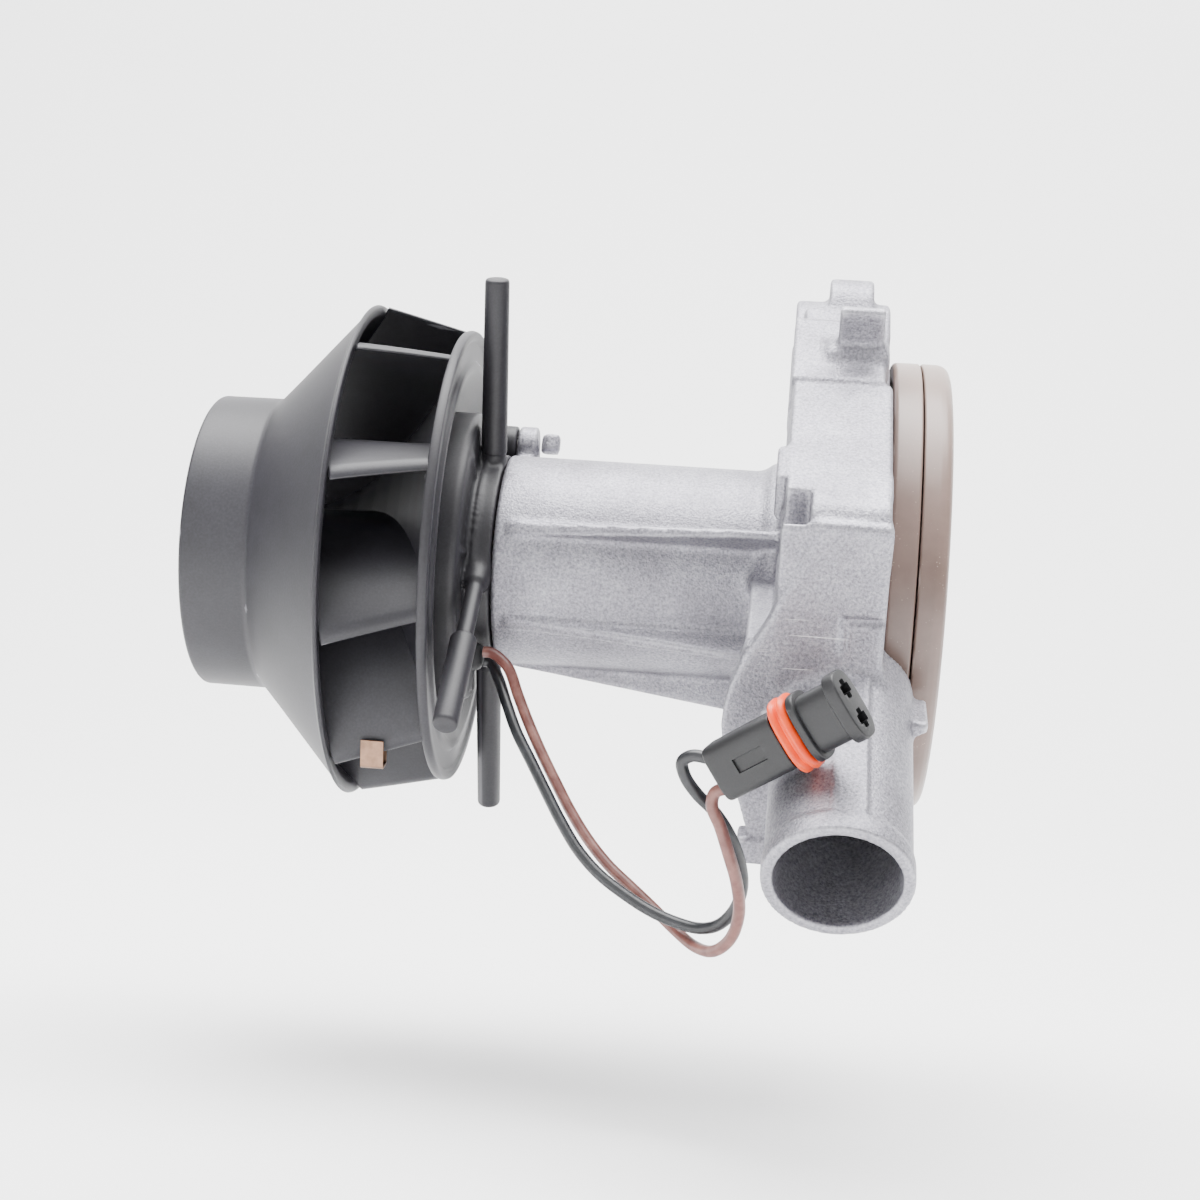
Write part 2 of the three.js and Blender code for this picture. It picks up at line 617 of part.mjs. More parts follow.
function endCover() {
  const bearing = BEARING_R + SEAT;
  const boss = BEARING_SPOTS.left + BEARING_WIDTH;
  const drum = turned([
    [coverLeft, 4.5], [coverLeft, COVER_R - 3.2], [coverLeft + 2.4, COVER_R], [coverRight, COVER_R],
    [coverRight, NECK_R], [barrelLeft - SEAT, NECK_R], [barrelLeft - SEAT, neckBore],
    [coverRight - COVER_WALL, neckBore], [coverRight - COVER_WALL, COVER_R - COVER_WALL],
    [coverLeft + 3.2, COVER_R - COVER_WALL], [coverLeft + COVER_WALL, COVER_R - 4.4],
    [coverLeft + COVER_WALL, bearing + 1.6], [boss, bearing + 1.6], [boss, bearing],
    [coverLeft + COVER_WALL - 0.1, bearing], [coverLeft + COVER_WALL - 0.1, 4.5],
  ], 30);
  const pegs = Object.values(PEGS).map((peg) => bar(peg.foot, onPeg(peg, 3), PEG_R, 12));
  const inside = disc(coverLeft + COVER_WALL + 1, barrelLeft + 1, neckBore, 30);
  const ears = Object.keys(EARS).map((side) => {
    const [y, z] = turnedPlace(earPlace(side));
    return bar([coverRight - 2.5, y, z], [barrelLeft - SEAT, y, z], 4.2, 14);
  });
  const holes = Object.keys(EARS).map((side) => {
    const [y, z] = turnedPlace(earPlace(side));
    return [
      bar([coverRight - 3.5, y, z], [barrelLeft, y, z], COVER_SCREW_R + SEAT, 8),
      bar([coverLeft - 1, y, z], [coverRight - 2.5, y, z], 3.2, 12),
    ];
  });
  const [leadY, leadZ] = LEAD_SPOT;
  const outletR = GROMMET_R - 0.7 + SEAT;
  const outlet = bar([coverRight - 5, leadY, leadZ], [coverRight + 1, leadY, leadZ], outletR, 16);
  return cut(join(drum, ...pegs, ...ears), inside, ...holes.flat(), outlet);
}

/** A place in the casting's turned group, as seen from the untilted frame. */
function turnedPlace([y, z]) {
  const angle = THREE.MathUtils.degToRad(TILT);
  return [y * Math.cos(angle) - z * Math.sin(angle), y * Math.sin(angle) + z * Math.cos(angle)];
}

/** The plastic sleeve pushed over a peg, blind at its outer end. */
function sleeve(peg) {
  const length = new THREE.Vector3(...peg.foot).distanceTo(new THREE.Vector3(...peg.tip));
  const back = onPeg(peg, length - peg.bare);
  const outer = bar(back, peg.tip, SLEEVE_R, 20, SLEEVE_R - 0.25);
  const bore = bar(onPeg(peg, length + 2), onPeg(peg, 3 - SEAT), PEG_R + SEAT, 12);
  return cut(outer, bore);
}

// ---- Lead grommet in the drum's right-hand wall ---------------------------------------------
const GROMMET_R = 2.9;
const GROMMET_OUT = 4.2;       // how far it stands out of the wall
const LEAD_SPOT = around(NECK_R + 4.2, 142);

function grommet() {
  const [y, z] = LEAD_SPOT;
  const body = bar([coverRight - 4, y, z], [coverRight + GROMMET_OUT, y, z], GROMMET_R - 0.7, 16);
  const rim = bar([coverRight + SEAT, y, z], [coverRight + GROMMET_OUT, y, z], GROMMET_R, 16);
  return join(body, rim);
}

add(root, 'motor_end_cover', endCover(), 'blackPlastic');
for (const [name, peg] of Object.entries(PEGS)) {
  add(root, `guide_sleeve_${name}`, sleeve(peg), 'blackPlastic');
}
add(root, 'lead_grommet', grommet(), 'rubber');

// ---- Heating-air fan ------------------------------------------------------------------------
const HUB_SHELL = 2;
const backInner = fanBack - 1.7;
const hubLength = backInner - hubNose;

/** Radius of the hub's flared outside at a place along the shaft. */
function hubRadius(x) {
  const t = Math.min(Math.max((x - hubNose) / hubLength, 0), 1);
  return 9 + (FAN_BACK_R - 17) * t * t;
}

/** The inner line of the shroud's cone, moved inwards by a distance. */
function coneLine(x, inset) {
  const slope = (FAN_RIM_R - FAN_EYE_R) / FAN_CONE;
  return FAN_EYE_R + slope * (x - fanShoulder) - inset * Math.hypot(1, slope);
}

function fanShroud() {
  const innerShoulder = fanShoulder + 0.7;
  return turned([
    [fanFront, FAN_EYE_R - 2.2], [fanFront + 0.4, FAN_EYE_R], [fanShoulder, FAN_EYE_R],
    [fanRim, FAN_RIM_R], [fanRim, coneLine(fanRim, SHROUD_WALL)],
    [innerShoulder, coneLine(innerShoulder, SHROUD_WALL)], [fanShoulder - 1, FAN_EYE_R - 2.2],
  ], 30);
}

const BLADE_SWEEP = 58;        // degrees from the blade's root to the shroud's rim
const BLADE_ROOT_R = 7;
const FIRST_BLADE = 41;        // degrees from +Z towards -Y

/** Angle of a blade's middle at a radius, for a blade that ends at the given angle. */
function bladeAngle(turn, radius) {
  return turn - BLADE_SWEEP * (1 - (radius - BLADE_ROOT_R) / (FAN_RIM_R - BLADE_ROOT_R));
}

/** A blade seen along the shaft: a curved strip, swept back towards its outer edge. */
function bladeStrip(turn) {
  const [outerR, stations] = [FAN_RIM_R + 2, 5];
  const [inside, outside] = [[], []];
  for (let i = 0; i <= stations; i += 1) {
    const radius = BLADE_ROOT_R + ((outerR - BLADE_ROOT_R) * i) / stations;
    const angle = bladeAngle(turn, radius);
    const half = THREE.MathUtils.radToDeg(BLADE_THICKNESS / 2 / radius) * 1.15;
    inside.push(around(radius, angle - half));
    outside.unshift(around(radius, angle + half));
  }
  return alongX(outline([...inside, ...outside]), fanShoulder - 2, fanBack + 2);
}

/** Hub cone, back ring and blades in one moulding. */
function fanWheel() {
  const stations = [0, 0.35, 0.6, 0.82, 1].map((t) => hubNose + hubLength * t);
  const outside = stations.map((x) => [x, hubRadius(x)]);
  const inside = stations.slice(1).reverse().map((x) => [x + HUB_SHELL * 0.55, hubRadius(x) - HUB_SHELL]);
  const bossEnd = coverLeft - 1.5;
  const shell = turned([
    [hubNose, SHAFT_R + SEAT], ...outside, [fanBack - 0.6, FAN_BACK_R], [fanBack + 1.4, FAN_BACK_R],
    [backInner + 1.8, hubRadius(backInner) + 0.6], ...inside,
    [hubNose + 3, 7], [bossEnd, 7], [bossEnd, SHAFT_R + SEAT],
  ], 30);
  const gap = SHROUD_WALL + SEAT;
  const zone = turned([
    ...stations.map((x) => [x, hubRadius(x) - 0.7]), [fanBack - 0.2, FAN_BACK_R],
    [fanRim + SEAT, FAN_RIM_R - 0.2], [fanRim + SEAT, coneLine(fanRim, gap) + 0.3],
    [fanShoulder + 2.5, coneLine(fanShoulder + 2.5, gap)],
  ], 30);
  let blades = null;
  for (let i = 0; i < FAN_BLADES; i += 1) {
    const strip = bladeStrip(FIRST_BLADE + (360 / FAN_BLADES) * i);
    blades = blades ? join(blades, strip) : strip;
  }
  return join(shell, blades.intersect(zone));
}

add(root, 'fan_wheel', fanWheel(), 'blackPlastic');
add(root, 'fan_shroud', fanShroud(), 'blackPlastic');

// Spring washer that bites on the shaft in front of the hub.
add(root, 'fan_retaining_washer', cut(
  turned([[hubNose - 1.3, SHAFT_R + SEAT], [hubNose - 0.5, 6.5], [hubNose - SEAT, 6.5],
    [hubNose - SEAT - 0.5, SHAFT_R + SEAT]], 30)), 'steel');

// Balance clip, pushed over the outer edge of one blade.
const CLIP_X = fanRim + 8.5;
const CLIP_BLADE = 3;          // which blade carries it, counted from the first

function balanceClip() {
  const t = (CLIP_X - fanRim) / (FAN_OUTLET + 1);
  const edge = FAN_RIM_R - 0.2 + (FAN_BACK_R - FAN_RIM_R) * t;
  const turn = FIRST_BLADE + (360 / FAN_BLADES) * CLIP_BLADE;
  const perRadius = THREE.MathUtils.degToRad(BLADE_SWEEP) / (FAN_RIM_R - BLADE_ROOT_R);
  const lean = THREE.MathUtils.radToDeg(Math.atan(perRadius * edge));
  const slot = BLADE_THICKNESS / 2 + 2 * SEAT;
  const body = cut(block([CLIP_X - 2.2, -slot - 0.5, -3.4], [CLIP_X + 2.2, slot + 0.5, 2.4]),
    block([CLIP_X - 3, -slot, -5], [CLIP_X + 3, slot, 1.9]));
  return spun(spun(body, lean).translate([0, 0, edge]), bladeAngle(turn, edge));
}

add(root, 'balance_clip', balanceClip(), 'bronze');

// ---- Combustion-air wheel: a vaned half and a smooth cover half -----------------------------
const VANE_THICKNESS = 1.2;
const wheelBore = SHAFT_R + SEAT;
const vanedRight = wheelSplit - SEAT / 2;
const pocketDepth = WHEEL_WIDTH * 0.35;

function vanedWheel() {
  const floor = wheelLeft + pocketDepth;
  let wheel = turned([
    [wheelLeft, wheelBore], [wheelLeft, 8], [wheelLeft + 2, 9], [wheelLeft + 2, CHANNEL_INNER_R - 3],
    [wheelLeft, CHANNEL_INNER_R - 2], [wheelLeft, CHANNEL_INNER_R], [floor, CHANNEL_INNER_R + 2],
    [floor, CHANNEL_OUTER_R - 2], [wheelLeft, CHANNEL_OUTER_R], [wheelLeft, WHEEL_R],
    [vanedRight, WHEEL_R], [vanedRight, wheelBore],
  ], 30);
  const half = VANE_THICKNESS / 2;
  const inner = CHANNEL_INNER_R - 1;
  for (let i = 0; i < WHEEL_VANES; i += 1) {
    const vane = block([wheelLeft + 0.2, -half, inner], [floor + 0.5, half, CHANNEL_OUTER_R + 1]);
    wheel = join(wheel, spun(vane, (360 / WHEEL_VANES) * i));
  }
  return wheel;
}

function wheelCover() {
  const left = wheelSplit + SEAT / 2;
  const dish = wheelRight - 3.6;
  return turned([
    [left, wheelBore], [left, WHEEL_R], [wheelRight - 2.2, WHEEL_R], [wheelRight - 0.7, WHEEL_R - 0.7],
    [wheelRight, WHEEL_R - 2.2], [wheelRight, WHEEL_R - 5], [dish, WHEEL_R - 7], [dish, 14],
    [wheelRight - 1.6, 11], [wheelRight - 1.6, 7.6], [dish, 7.2], [dish, wheelBore],
  ], 30);
}

const shaftSeal = ring(cupRight + SEAT, channelFloor - 3, SHAFT_R + 0.15, BEARING_R + 1.8 - SEAT, 24);
const wheelWasher = turned([
  [wheelRight - 3.6 + SEAT, wheelBore], [wheelRight - 3.6 + SEAT, 6.5], [wheelRight - 3.1 + SEAT, 6.5],
  [wheelRight - 2.5, wheelBore],
], 20);

add(root, 'shaft_seal', shaftSeal, 'felt');
add(root, 'combustion_air_wheel', vanedWheel(), 'brownPlastic');
add(root, 'combustion_air_wheel_cover', wheelCover(), 'brownPlastic');
add(root, 'wheel_retaining_washer', wheelWasher, 'steel');

// ---- Connector, lying on the inlet stub -----------------------------------------------------
// Its own group: +X is the way the plug is pushed in, +Z the long side of its section.
const PLUG_LENGTH = 28;
const PLUG_BACK = 14.5;        // length of the gripped rear part
const PLUG_LONG = 5.1;         // half sizes of the rear part's section
const PLUG_SHORT = 3.9;
const NOSE_LONG = 5.6;
const NOSE_SHORT = 3.3;
const CAVITY_R = 1.5;
const CAVITY_PITCH = 5.4;

const plug = new THREE.Group();
const plugWay = new THREE.Vector3(0.757, -0.43, 0.487).normalize();
const plugLong = new THREE.Vector3(0.56, 0.06, -0.82);
plugLong.addScaledVector(plugWay, -plugLong.dot(plugWay)).normalize();
const plugShort = new THREE.Vector3().crossVectors(plugLong, plugWay);
plug.quaternion.setFromRotationMatrix(new THREE.Matrix4().makeBasis(plugWay, plugShort, plugLong));
plug.position.set(-15.7, -76, -28.8);
root.add(plug);

/** A section of the plug with rounded narrow sides, from x0 to x1. */
const plugPart = (x0, x1, short, long, radius = short - 0.05) =>
  alongX(roundedBox(-short, -long, short, long, radius), x0, x1, 2);

const plugRear = -PLUG_LENGTH / 2;
const sealLeft = plugRear + PLUG_BACK;
const SEAL_WIDTH = 3.6;

function plugBody() {
  const body = join(
    plugPart(plugRear, sealLeft - 0.1, PLUG_SHORT, PLUG_LONG, 2.6),
    plugPart(sealLeft - 1, sealLeft + SEAL_WIDTH + 1, NOSE_SHORT - 0.2, NOSE_LONG - 0.2),
    plugPart(sealLeft + SEAL_WIDTH + 0.1, sealLeft + SEAL_WIDTH + 1.5, NOSE_SHORT + 0.8, NOSE_LONG + 0.6),
    plugPart(sealLeft + SEAL_WIDTH, -plugRear - 2, NOSE_SHORT, NOSE_LONG - 0.4),
    plugPart(-plugRear - 2.4, -plugRear, NOSE_SHORT + 0.4, NOSE_LONG + 0.6));
  const cavities = [-1, 1].map((side) => {
    const z = (side * CAVITY_PITCH) / 2;
    return bar([-plugRear - 9, 0, z], [-plugRear + 1, 0, z], CAVITY_R, 12);
  });
  return cut(body, ...cavities);
}

function plugSeal() {
  const whole = join(
    plugPart(sealLeft + 0.2, sealLeft + 1.5, NOSE_SHORT + 1.3, NOSE_LONG + 1.1),
    plugPart(sealLeft + 1.2, sealLeft + SEAL_WIDTH - 0.9, NOSE_SHORT + 0.8, NOSE_LONG + 0.6),
    plugPart(sealLeft + SEAL_WIDTH - 1.2, sealLeft + SEAL_WIDTH - 0.2, NOSE_SHORT + 1.3, NOSE_LONG + 1.1));
  const core = plugPart(
    sealLeft - 1, sealLeft + SEAL_WIDTH + 1, NOSE_SHORT - 0.2 + SEAT, NOSE_LONG - 0.2 + SEAT);
  return cut(whole, core);
}

add(plug, 'connector_housing', plugBody(), 'blackPlastic');
add(plug, 'connector_seal', plugSeal(), 'sealOrange');
for (const [name, side] of [['positive', -1], ['negative', 1]]) {
  const z = (side * CAVITY_PITCH) / 2;
  const pin = bar([-plugRear - 9 + SEAT, 0, z], [-plugRear - 2, 0, z], CAVITY_R - SEAT, 8);
  add(plug, `connector_contact_${name}`, pin, 'brass');
}

// ---- Leads, hanging in a loop from the grommet to the back of the connector -----------------
const BLACK_ROUTE = [
  [-75.9, -14.4, -21], [-74.7, -14.5, -21.2], [-72.6, -16.2, -24.2], [-70, -19.9, -29.3],
  [-67.5, -22.6, -34.1], [-64, -25.2, -39.4], [-60.4, -27.8, -44.9], [-56.8, -30.4, -50.2],
  [-53, -32.8, -55], [-48.6, -35, -58.9], [-43.4, -37.2, -62], [-38.2, -39.5, -64.4],
  [-33.2, -41.8, -65.8], [-28.9, -44.1, -66.2], [-25.5, -46.7, -65], [-22.8, -49.5, -61.8],
  [-21.5, -52.6, -57.1], [-22.3, -56.1, -52], [-24.4, -59.5, -47.1], [-27.3, -62.8, -43],
  [-30.4, -65.2, -40], [-32.5, -66.8, -37.1], [-33.1, -67.8, -34.6], [-31.5, -68.7, -33.4],
  [-28.6, -69.8, -33.5],
];
const BROWN_ROUTE = [
  [-75.9, -17, -19.1], [-74.2, -17.1, -19.2], [-70.8, -18.2, -21.6], [-68, -19.2, -27.4],
  [-65.4, -21, -32.4], [-62.4, -23, -37.6], [-59, -25, -43], [-55.4, -27, -48.4],
  [-51.4, -29.2, -53.4], [-47.2, -31.4, -57.5], [-42.6, -33.6, -60.9], [-38, -35.6, -64.3],
  [-33.6, -38.4, -67.6], [-29.5, -43.2, -69.7], [-25.9, -48.9, -69.4], [-22.9, -54, -66.1],
  [-21.7, -58.3, -60.9], [-22.5, -62.2, -55.1], [-24.2, -65.3, -49.9], [-25.9, -67.2, -45.2],
  [-27.5, -68.1, -41.7], [-27.1, -68.6, -39.4], [-24.9, -69.6, -38.3],
];

function lead(route) {
  const path = new THREE.CatmullRomCurve3(route.map((point) => new THREE.Vector3(...point)));
  const section = new THREE.Shape().absarc(0, 0, LEAD_R, 0, 2 * Math.PI);
  return solid(new THREE.ExtrudeGeometry(section, {
    extrudePath: path, steps: 36, curveSegments: 4, bevelEnabled: false,
  }));
}

add(root, 'lead_black', lead(BLACK_ROUTE), 'leadBlack');
add(root, 'lead_brown', lead(BROWN_ROUTE), 'leadBrown');

export default root;
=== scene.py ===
import math

import bpy
import numpy as np
from mathutils import Matrix, Vector


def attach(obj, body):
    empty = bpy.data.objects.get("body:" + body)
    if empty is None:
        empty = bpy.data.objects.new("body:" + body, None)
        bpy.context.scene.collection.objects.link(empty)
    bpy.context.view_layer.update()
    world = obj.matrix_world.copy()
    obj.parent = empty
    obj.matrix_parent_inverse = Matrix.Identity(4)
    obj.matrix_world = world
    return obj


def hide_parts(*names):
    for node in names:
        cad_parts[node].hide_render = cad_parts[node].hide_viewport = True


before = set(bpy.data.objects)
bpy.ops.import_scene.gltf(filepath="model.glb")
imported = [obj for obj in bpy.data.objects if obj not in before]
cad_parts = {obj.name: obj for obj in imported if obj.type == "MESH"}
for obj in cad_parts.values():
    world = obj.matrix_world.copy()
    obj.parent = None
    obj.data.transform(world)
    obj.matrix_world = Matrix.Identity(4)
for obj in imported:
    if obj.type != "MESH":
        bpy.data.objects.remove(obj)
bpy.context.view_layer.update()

# ---- Camera, light and floor -----------------------------------------------------------------
# The unit is seen from its side, a little to the right of its middle and almost level with the
# shaft, under a large soft light from above, on a plain pale sweep.
MM = 0.001
camera_data = bpy.data.cameras.new("camera")
camera_data.sensor_width = 36
camera_data.lens = 63.06
camera_data.clip_start = 0.01
camera = bpy.data.objects.new("camera", camera_data)
bpy.context.scene.collection.objects.link(camera)
bpy.context.scene.camera = camera
yaw, pitch, roll = (math.radians(a) for a in (4.87, 0.61, 3.99))
heading = Matrix.Rotation(yaw, 3, "Z") @ Matrix.Rotation(pitch, 3, "X")
level_right, onward, level_up = (heading @ Vector(axis) for axis in ((1, 0, 0), (0, 1, 0), (0, 0, 1)))
right = level_right * math.cos(roll) + level_up * math.sin(roll)
up = level_up * math.cos(roll) - level_right * math.sin(roll)
camera.matrix_world = Matrix.Translation(Vector((-18.4, -429.4, -11.7)) * MM) @ Matrix(
    (right, up, -onward)).transposed().to_4x4()


def add_node(tree, kind, settings=None, **sockets):
    """Adds one node: settings are its own properties, sockets are values or links for its inputs.
    A socket is named by its label with spaces as _, or by s and its number."""
    node = tree.nodes.new(kind)
    for key, value in (settings or {}).items():
        setattr(node, key, value)
    for key, value in sockets.items():
        spot = int(key[1:]) if key[0] == "s" and key[1:].isdigit() else key.replace("_", " ")
        socket = node.inputs[spot]
        if isinstance(value, bpy.types.NodeSocket):
            tree.links.new(value, socket)
        else:
            socket.default_value = value
    return node


def colour(code):
    """An sRGB hex colour as linear red, green, blue and alpha."""
    channels = [int(code[i:i + 2], 16) / 255 for i in (1, 3, 5)]
    return [c / 12.92 if c <= 0.04045 else ((c + 0.055) / 1.055) ** 2.4 for c in channels] + [1.0]


def set_ramp(ramp, *stops):
    """Gives a colour ramp its stops, each a position and a hex colour."""
    for element, (position, code) in zip(ramp.color_ramp.elements, stops):
        element.position, element.color = position, colour(code)


def blank_material(name):
    """An empty material with its output, ready for a shader."""
    material = bpy.data.materials.new(name)
    material.use_nodes = True
    tree = material.node_tree
    tree.nodes.clear()
    return material, tree


def new_piece(name, points, faces, sharp=40):
    """A mesh object from arrays of corners and quads, smooth except over edges sharper than an angle."""
    mesh = bpy.data.meshes.new(name)
    faces = np.asarray(faces, np.int32)
    sides = faces.shape[1]
    mesh.vertices.add(len(points))
    mesh.vertices.foreach_set("co", np.asarray(points, np.float32).ravel())
    mesh.loops.add(faces.size)
    mesh.loops.foreach_set("vertex_index", faces.ravel())
    mesh.polygons.add(len(faces))
    mesh.polygons.foreach_set("loop_start", np.arange(len(faces), dtype=np.int32) * sides)
    mesh.update(calc_edges=True)
    mesh.validate()
    mesh.polygons.foreach_set("use_smooth", np.ones(len(mesh.polygons), bool))
    mesh.set_sharp_from_angle(angle=math.radians(sharp))
    piece = bpy.data.objects.new(name, mesh)
    bpy.context.scene.collection.objects.link(piece)
    return piece


FLOOR_Z = -0.105
across = np.linspace(-2.2, 2.2, 3)
run = np.concatenate([[-1.6, 0.45], 0.45 + 0.5 * np.sin(np.linspace(0.1, 1.5, 12)), [0.96]])
rise = np.concatenate([[0, 0], 0.5 - 0.5 * np.cos(np.linspace(0.1, 1.5, 12)), [2.6]]) + FLOOR_Z
sweep_points = np.array([[x, y, z] for x in across for y, z in zip(run, rise)])
row = len(run)
sweep_faces = [[i * row + j, (i + 1) * row + j, (i + 1) * row + j + 1, i * row + j + 1]
               for i in range(2) for j in range(row - 1)]
sweep = new_piece("floor", sweep_points, sweep_faces, 80)
paper, tree = blank_material("white_paper")
shader = add_node(tree, "ShaderNodeBsdfDiffuse", Color=colour("#fdfdfd"))
add_node(tree, "ShaderNodeOutputMaterial", Surface=shader.outputs[0])
sweep.data.materials.append(paper)

world = bpy.data.worlds.new("studio")
bpy.context.scene.world = world
world.use_nodes = True
world.node_tree.nodes["Background"].inputs["Color"].default_value = (1, 1, 1, 1)
world.node_tree.nodes["Background"].inputs["Strength"].default_value = 0.7


def soft_light(name, place, target, size, power):
    """A square area light at a place, aimed at a target."""
    data = bpy.data.lights.new(name, "AREA")
    data.shape = "RECTANGLE"
    data.size, data.size_y = size
    data.energy = power
    lamp = bpy.data.objects.new(name, data)
    bpy.context.scene.collection.objects.link(lamp)
    aim = (Vector(target) - Vector(place)).to_track_quat("-Z", "Y")
    lamp.matrix_world = Matrix.Translation(Vector(place)) @ aim.to_matrix().to_4x4()
    return lamp


soft_light("top_softbox", (-0.1, -0.12, 0.75), (-0.06, 0.0, 0.0), (0.9, 0.7), 17)
soft_light("front_softbox", (-0.5, -0.8, 0.25), (-0.06, 0.0, 0.0), (0.7, 0.5), 2.5)
soft_light("backdrop_light", (0.0, 0.2, 1.3), (0.0, 0.75, 0.1), (2.4, 0.9), 60)

# ---- Leads -----------------------------------------------------------------------------------
# Two stranded wires in smooth PVC insulation, 2.2 mm across, one black and one brown. They leave
# the grommet of the motor's end cover, hang in one loop and enter the back of the connector.
LEAD_R = 1.1
BLACK_ROUTE = [
    (-75.9, -14.4, -21), (-74.7, -14.5, -21.2), (-72.6, -16.2, -24.2), (-70, -19.9, -29.3),
    (-67.5, -22.6, -34.1), (-64, -25.2, -39.4), (-60.4, -27.8, -44.9), (-56.8, -30.4, -50.2),
    (-53, -32.8, -55), (-48.6, -35, -58.9), (-43.4, -37.2, -62), (-38.2, -39.5, -64.4),
    (-33.2, -41.8, -65.8), (-28.9, -44.1, -66.2), (-25.5, -46.7, -65), (-22.8, -49.5, -61.8),
    (-21.5, -52.6, -57.1), (-22.3, -56.1, -52), (-24.4, -59.5, -47.1), (-27.3, -62.8, -43),
    (-30.4, -65.2, -40), (-32.5, -66.8, -37.1), (-33.1, -67.8, -34.6), (-31.5, -68.7, -33.4),
    (-28.6, -69.8, -33.5),
]
BROWN_ROUTE = [
    (-75.9, -17, -19.1), (-74.2, -17.1, -19.2), (-70.8, -18.2, -21.6), (-68, -19.2, -27.4),
    (-65.4, -21, -32.4), (-62.4, -23, -37.6), (-59, -25, -43), (-55.4, -27, -48.4),
    (-51.4, -29.2, -53.4), (-47.2, -31.4, -57.5), (-42.6, -33.6, -60.9), (-38, -35.6, -64.3),
    (-33.6, -38.4, -67.6), (-29.5, -43.2, -69.7), (-25.9, -48.9, -69.4), (-22.9, -54, -66.1),
    (-21.7, -58.3, -60.9), (-22.5, -62.2, -55.1), (-24.2, -65.3, -49.9), (-25.9, -67.2, -45.2),
    (-27.5, -68.1, -41.7), (-27.1, -68.6, -39.4), (-24.9, -69.6, -38.3),
]


def smooth_route(route, steps):
    """A centripetal Catmull-Rom curve through the points: on each span a cubic whose end slopes
    come from the neighbours, weighted by the square roots of the chord lengths."""
    p = np.array(route, float)
    p = np.vstack([2 * p[0] - p[1], p, 2 * p[-1] - p[-2]])
    gap = np.sqrt(np.linalg.norm(np.diff(p, axis=0), axis=1))[:, None]
    a, b, c = gap[:-2], gap[1:-1], gap[2:]
    p0, p1, p2, p3 = p[:-3], p[1:-2], p[2:-1], p[3:]
    slope1 = ((p1 - p0) / a - (p2 - p0) / (a + b) + (p2 - p1) / b) * b
    slope2 = ((p2 - p1) / b - (p3 - p1) / (b + c) + (p3 - p2) / c) * b
    t = np.linspace(0, 1, steps, endpoint=False)[None, :, None]
    spans = [v[:, None, :] for v in (p1, p2, slope1, slope2)]
    curve = (spans[0] * (1 + 2 * t) * (1 - t) ** 2 + spans[1] * t * t * (3 - 2 * t)
             + spans[2] * t * (1 - t) ** 2 - spans[3] * t * t * (1 - t))
    return np.vstack([curve.reshape(-1, 3), p[-2]])


def closed_grid(count_u, count_v):
    """Quads over a grid of rings: v runs round each ring, and u from the first ring to the last."""
    u, v = np.meshgrid(np.arange(count_u - 1), np.arange(count_v), indexing="ij")
    after = (v + 1) % count_v
    return np.stack([u * count_v + v, (u + 1) * count_v + v, (u + 1) * count_v + after,
                     u * count_v + after], -1).reshape(-1, 4)


def tube(name, path, radii, sides):
    """A round tube along a path: at each point a ring of the given radius stands square to the
    path, turned as little as possible from the ring before. Both end rings are closed with a face each."""
    path = np.asarray(path, float)
    way = np.gradient(path, axis=0)
    way /= np.linalg.norm(way, axis=1)[:, None]
    side = np.cross(way[0], (0, 0, 1.0))
    sides_at = []
    for direction in way:
        side = side - direction * side.dot(direction)
        side /= np.linalg.norm(side)
        sides_at.append(side)
    first = np.array(sides_at)
    second = np.cross(way, first)
    turn = np.linspace(0, 2 * math.pi, sides, endpoint=False)
    rings = path[:, None, :] + np.asarray(radii)[:, None, None] * (
        first[:, None, :] * np.cos(turn)[None, :, None] + second[:, None, :] * np.sin(turn)[None, :, None])
    points = rings.reshape(-1, 3) * MM
    piece = new_piece(name, points, closed_grid(len(path), sides)[:, ::-1], 50)
    close_ends(piece, sides)
    return piece


def close_ends(piece, sides):
    """Fills the first and last ring of a grid mesh with a face each, and points all faces out."""
    import bmesh
    work = bmesh.new()
    work.from_mesh(piece.data)
    work.verts.ensure_lookup_table()
    bmesh.ops.remove_doubles(work, verts=work.verts, dist=1e-8)
    edges = [e for e in work.edges if e.is_boundary]
    bmesh.ops.holes_fill(work, edges=edges, sides=0)
    bmesh.ops.recalc_face_normals(work, faces=work.faces)
    work.to_mesh(piece.data)
    work.free()
    piece.data.polygons.foreach_set("use_smooth", np.ones(len(piece.data.polygons), bool))
    piece.data.set_sharp_from_angle(angle=math.radians(50))


def wire_insulation(name, dark, light):
    """PVC wire insulation: extruded, smooth and slightly glossy, with faint dust and scuffs."""
    material, tree = blank_material(name)
    place = add_node(tree, "ShaderNodeTexCoord").outputs["Object"]
    dust = add_node(tree, "ShaderNodeTexNoise", Vector=place, Scale=420.0, Detail=4.0)
    mix = add_node(tree, "ShaderNodeValToRGB", s0=dust.outputs["Fac"])
    set_ramp(mix, (0.42, dark), (0.78, light))
    bump = add_node(tree, "ShaderNodeBump", Height=dust.outputs["Fac"], Strength=0.25, Distance=0.00008)
    shader = add_node(tree, "ShaderNodeBsdfPrincipled", Base_Color=mix.outputs["Color"],
                      Roughness=0.38, IOR=1.53, Normal=bump.outputs["Normal"])
    add_node(tree, "ShaderNodeOutputMaterial", Surface=shader.outputs[0])
    return material


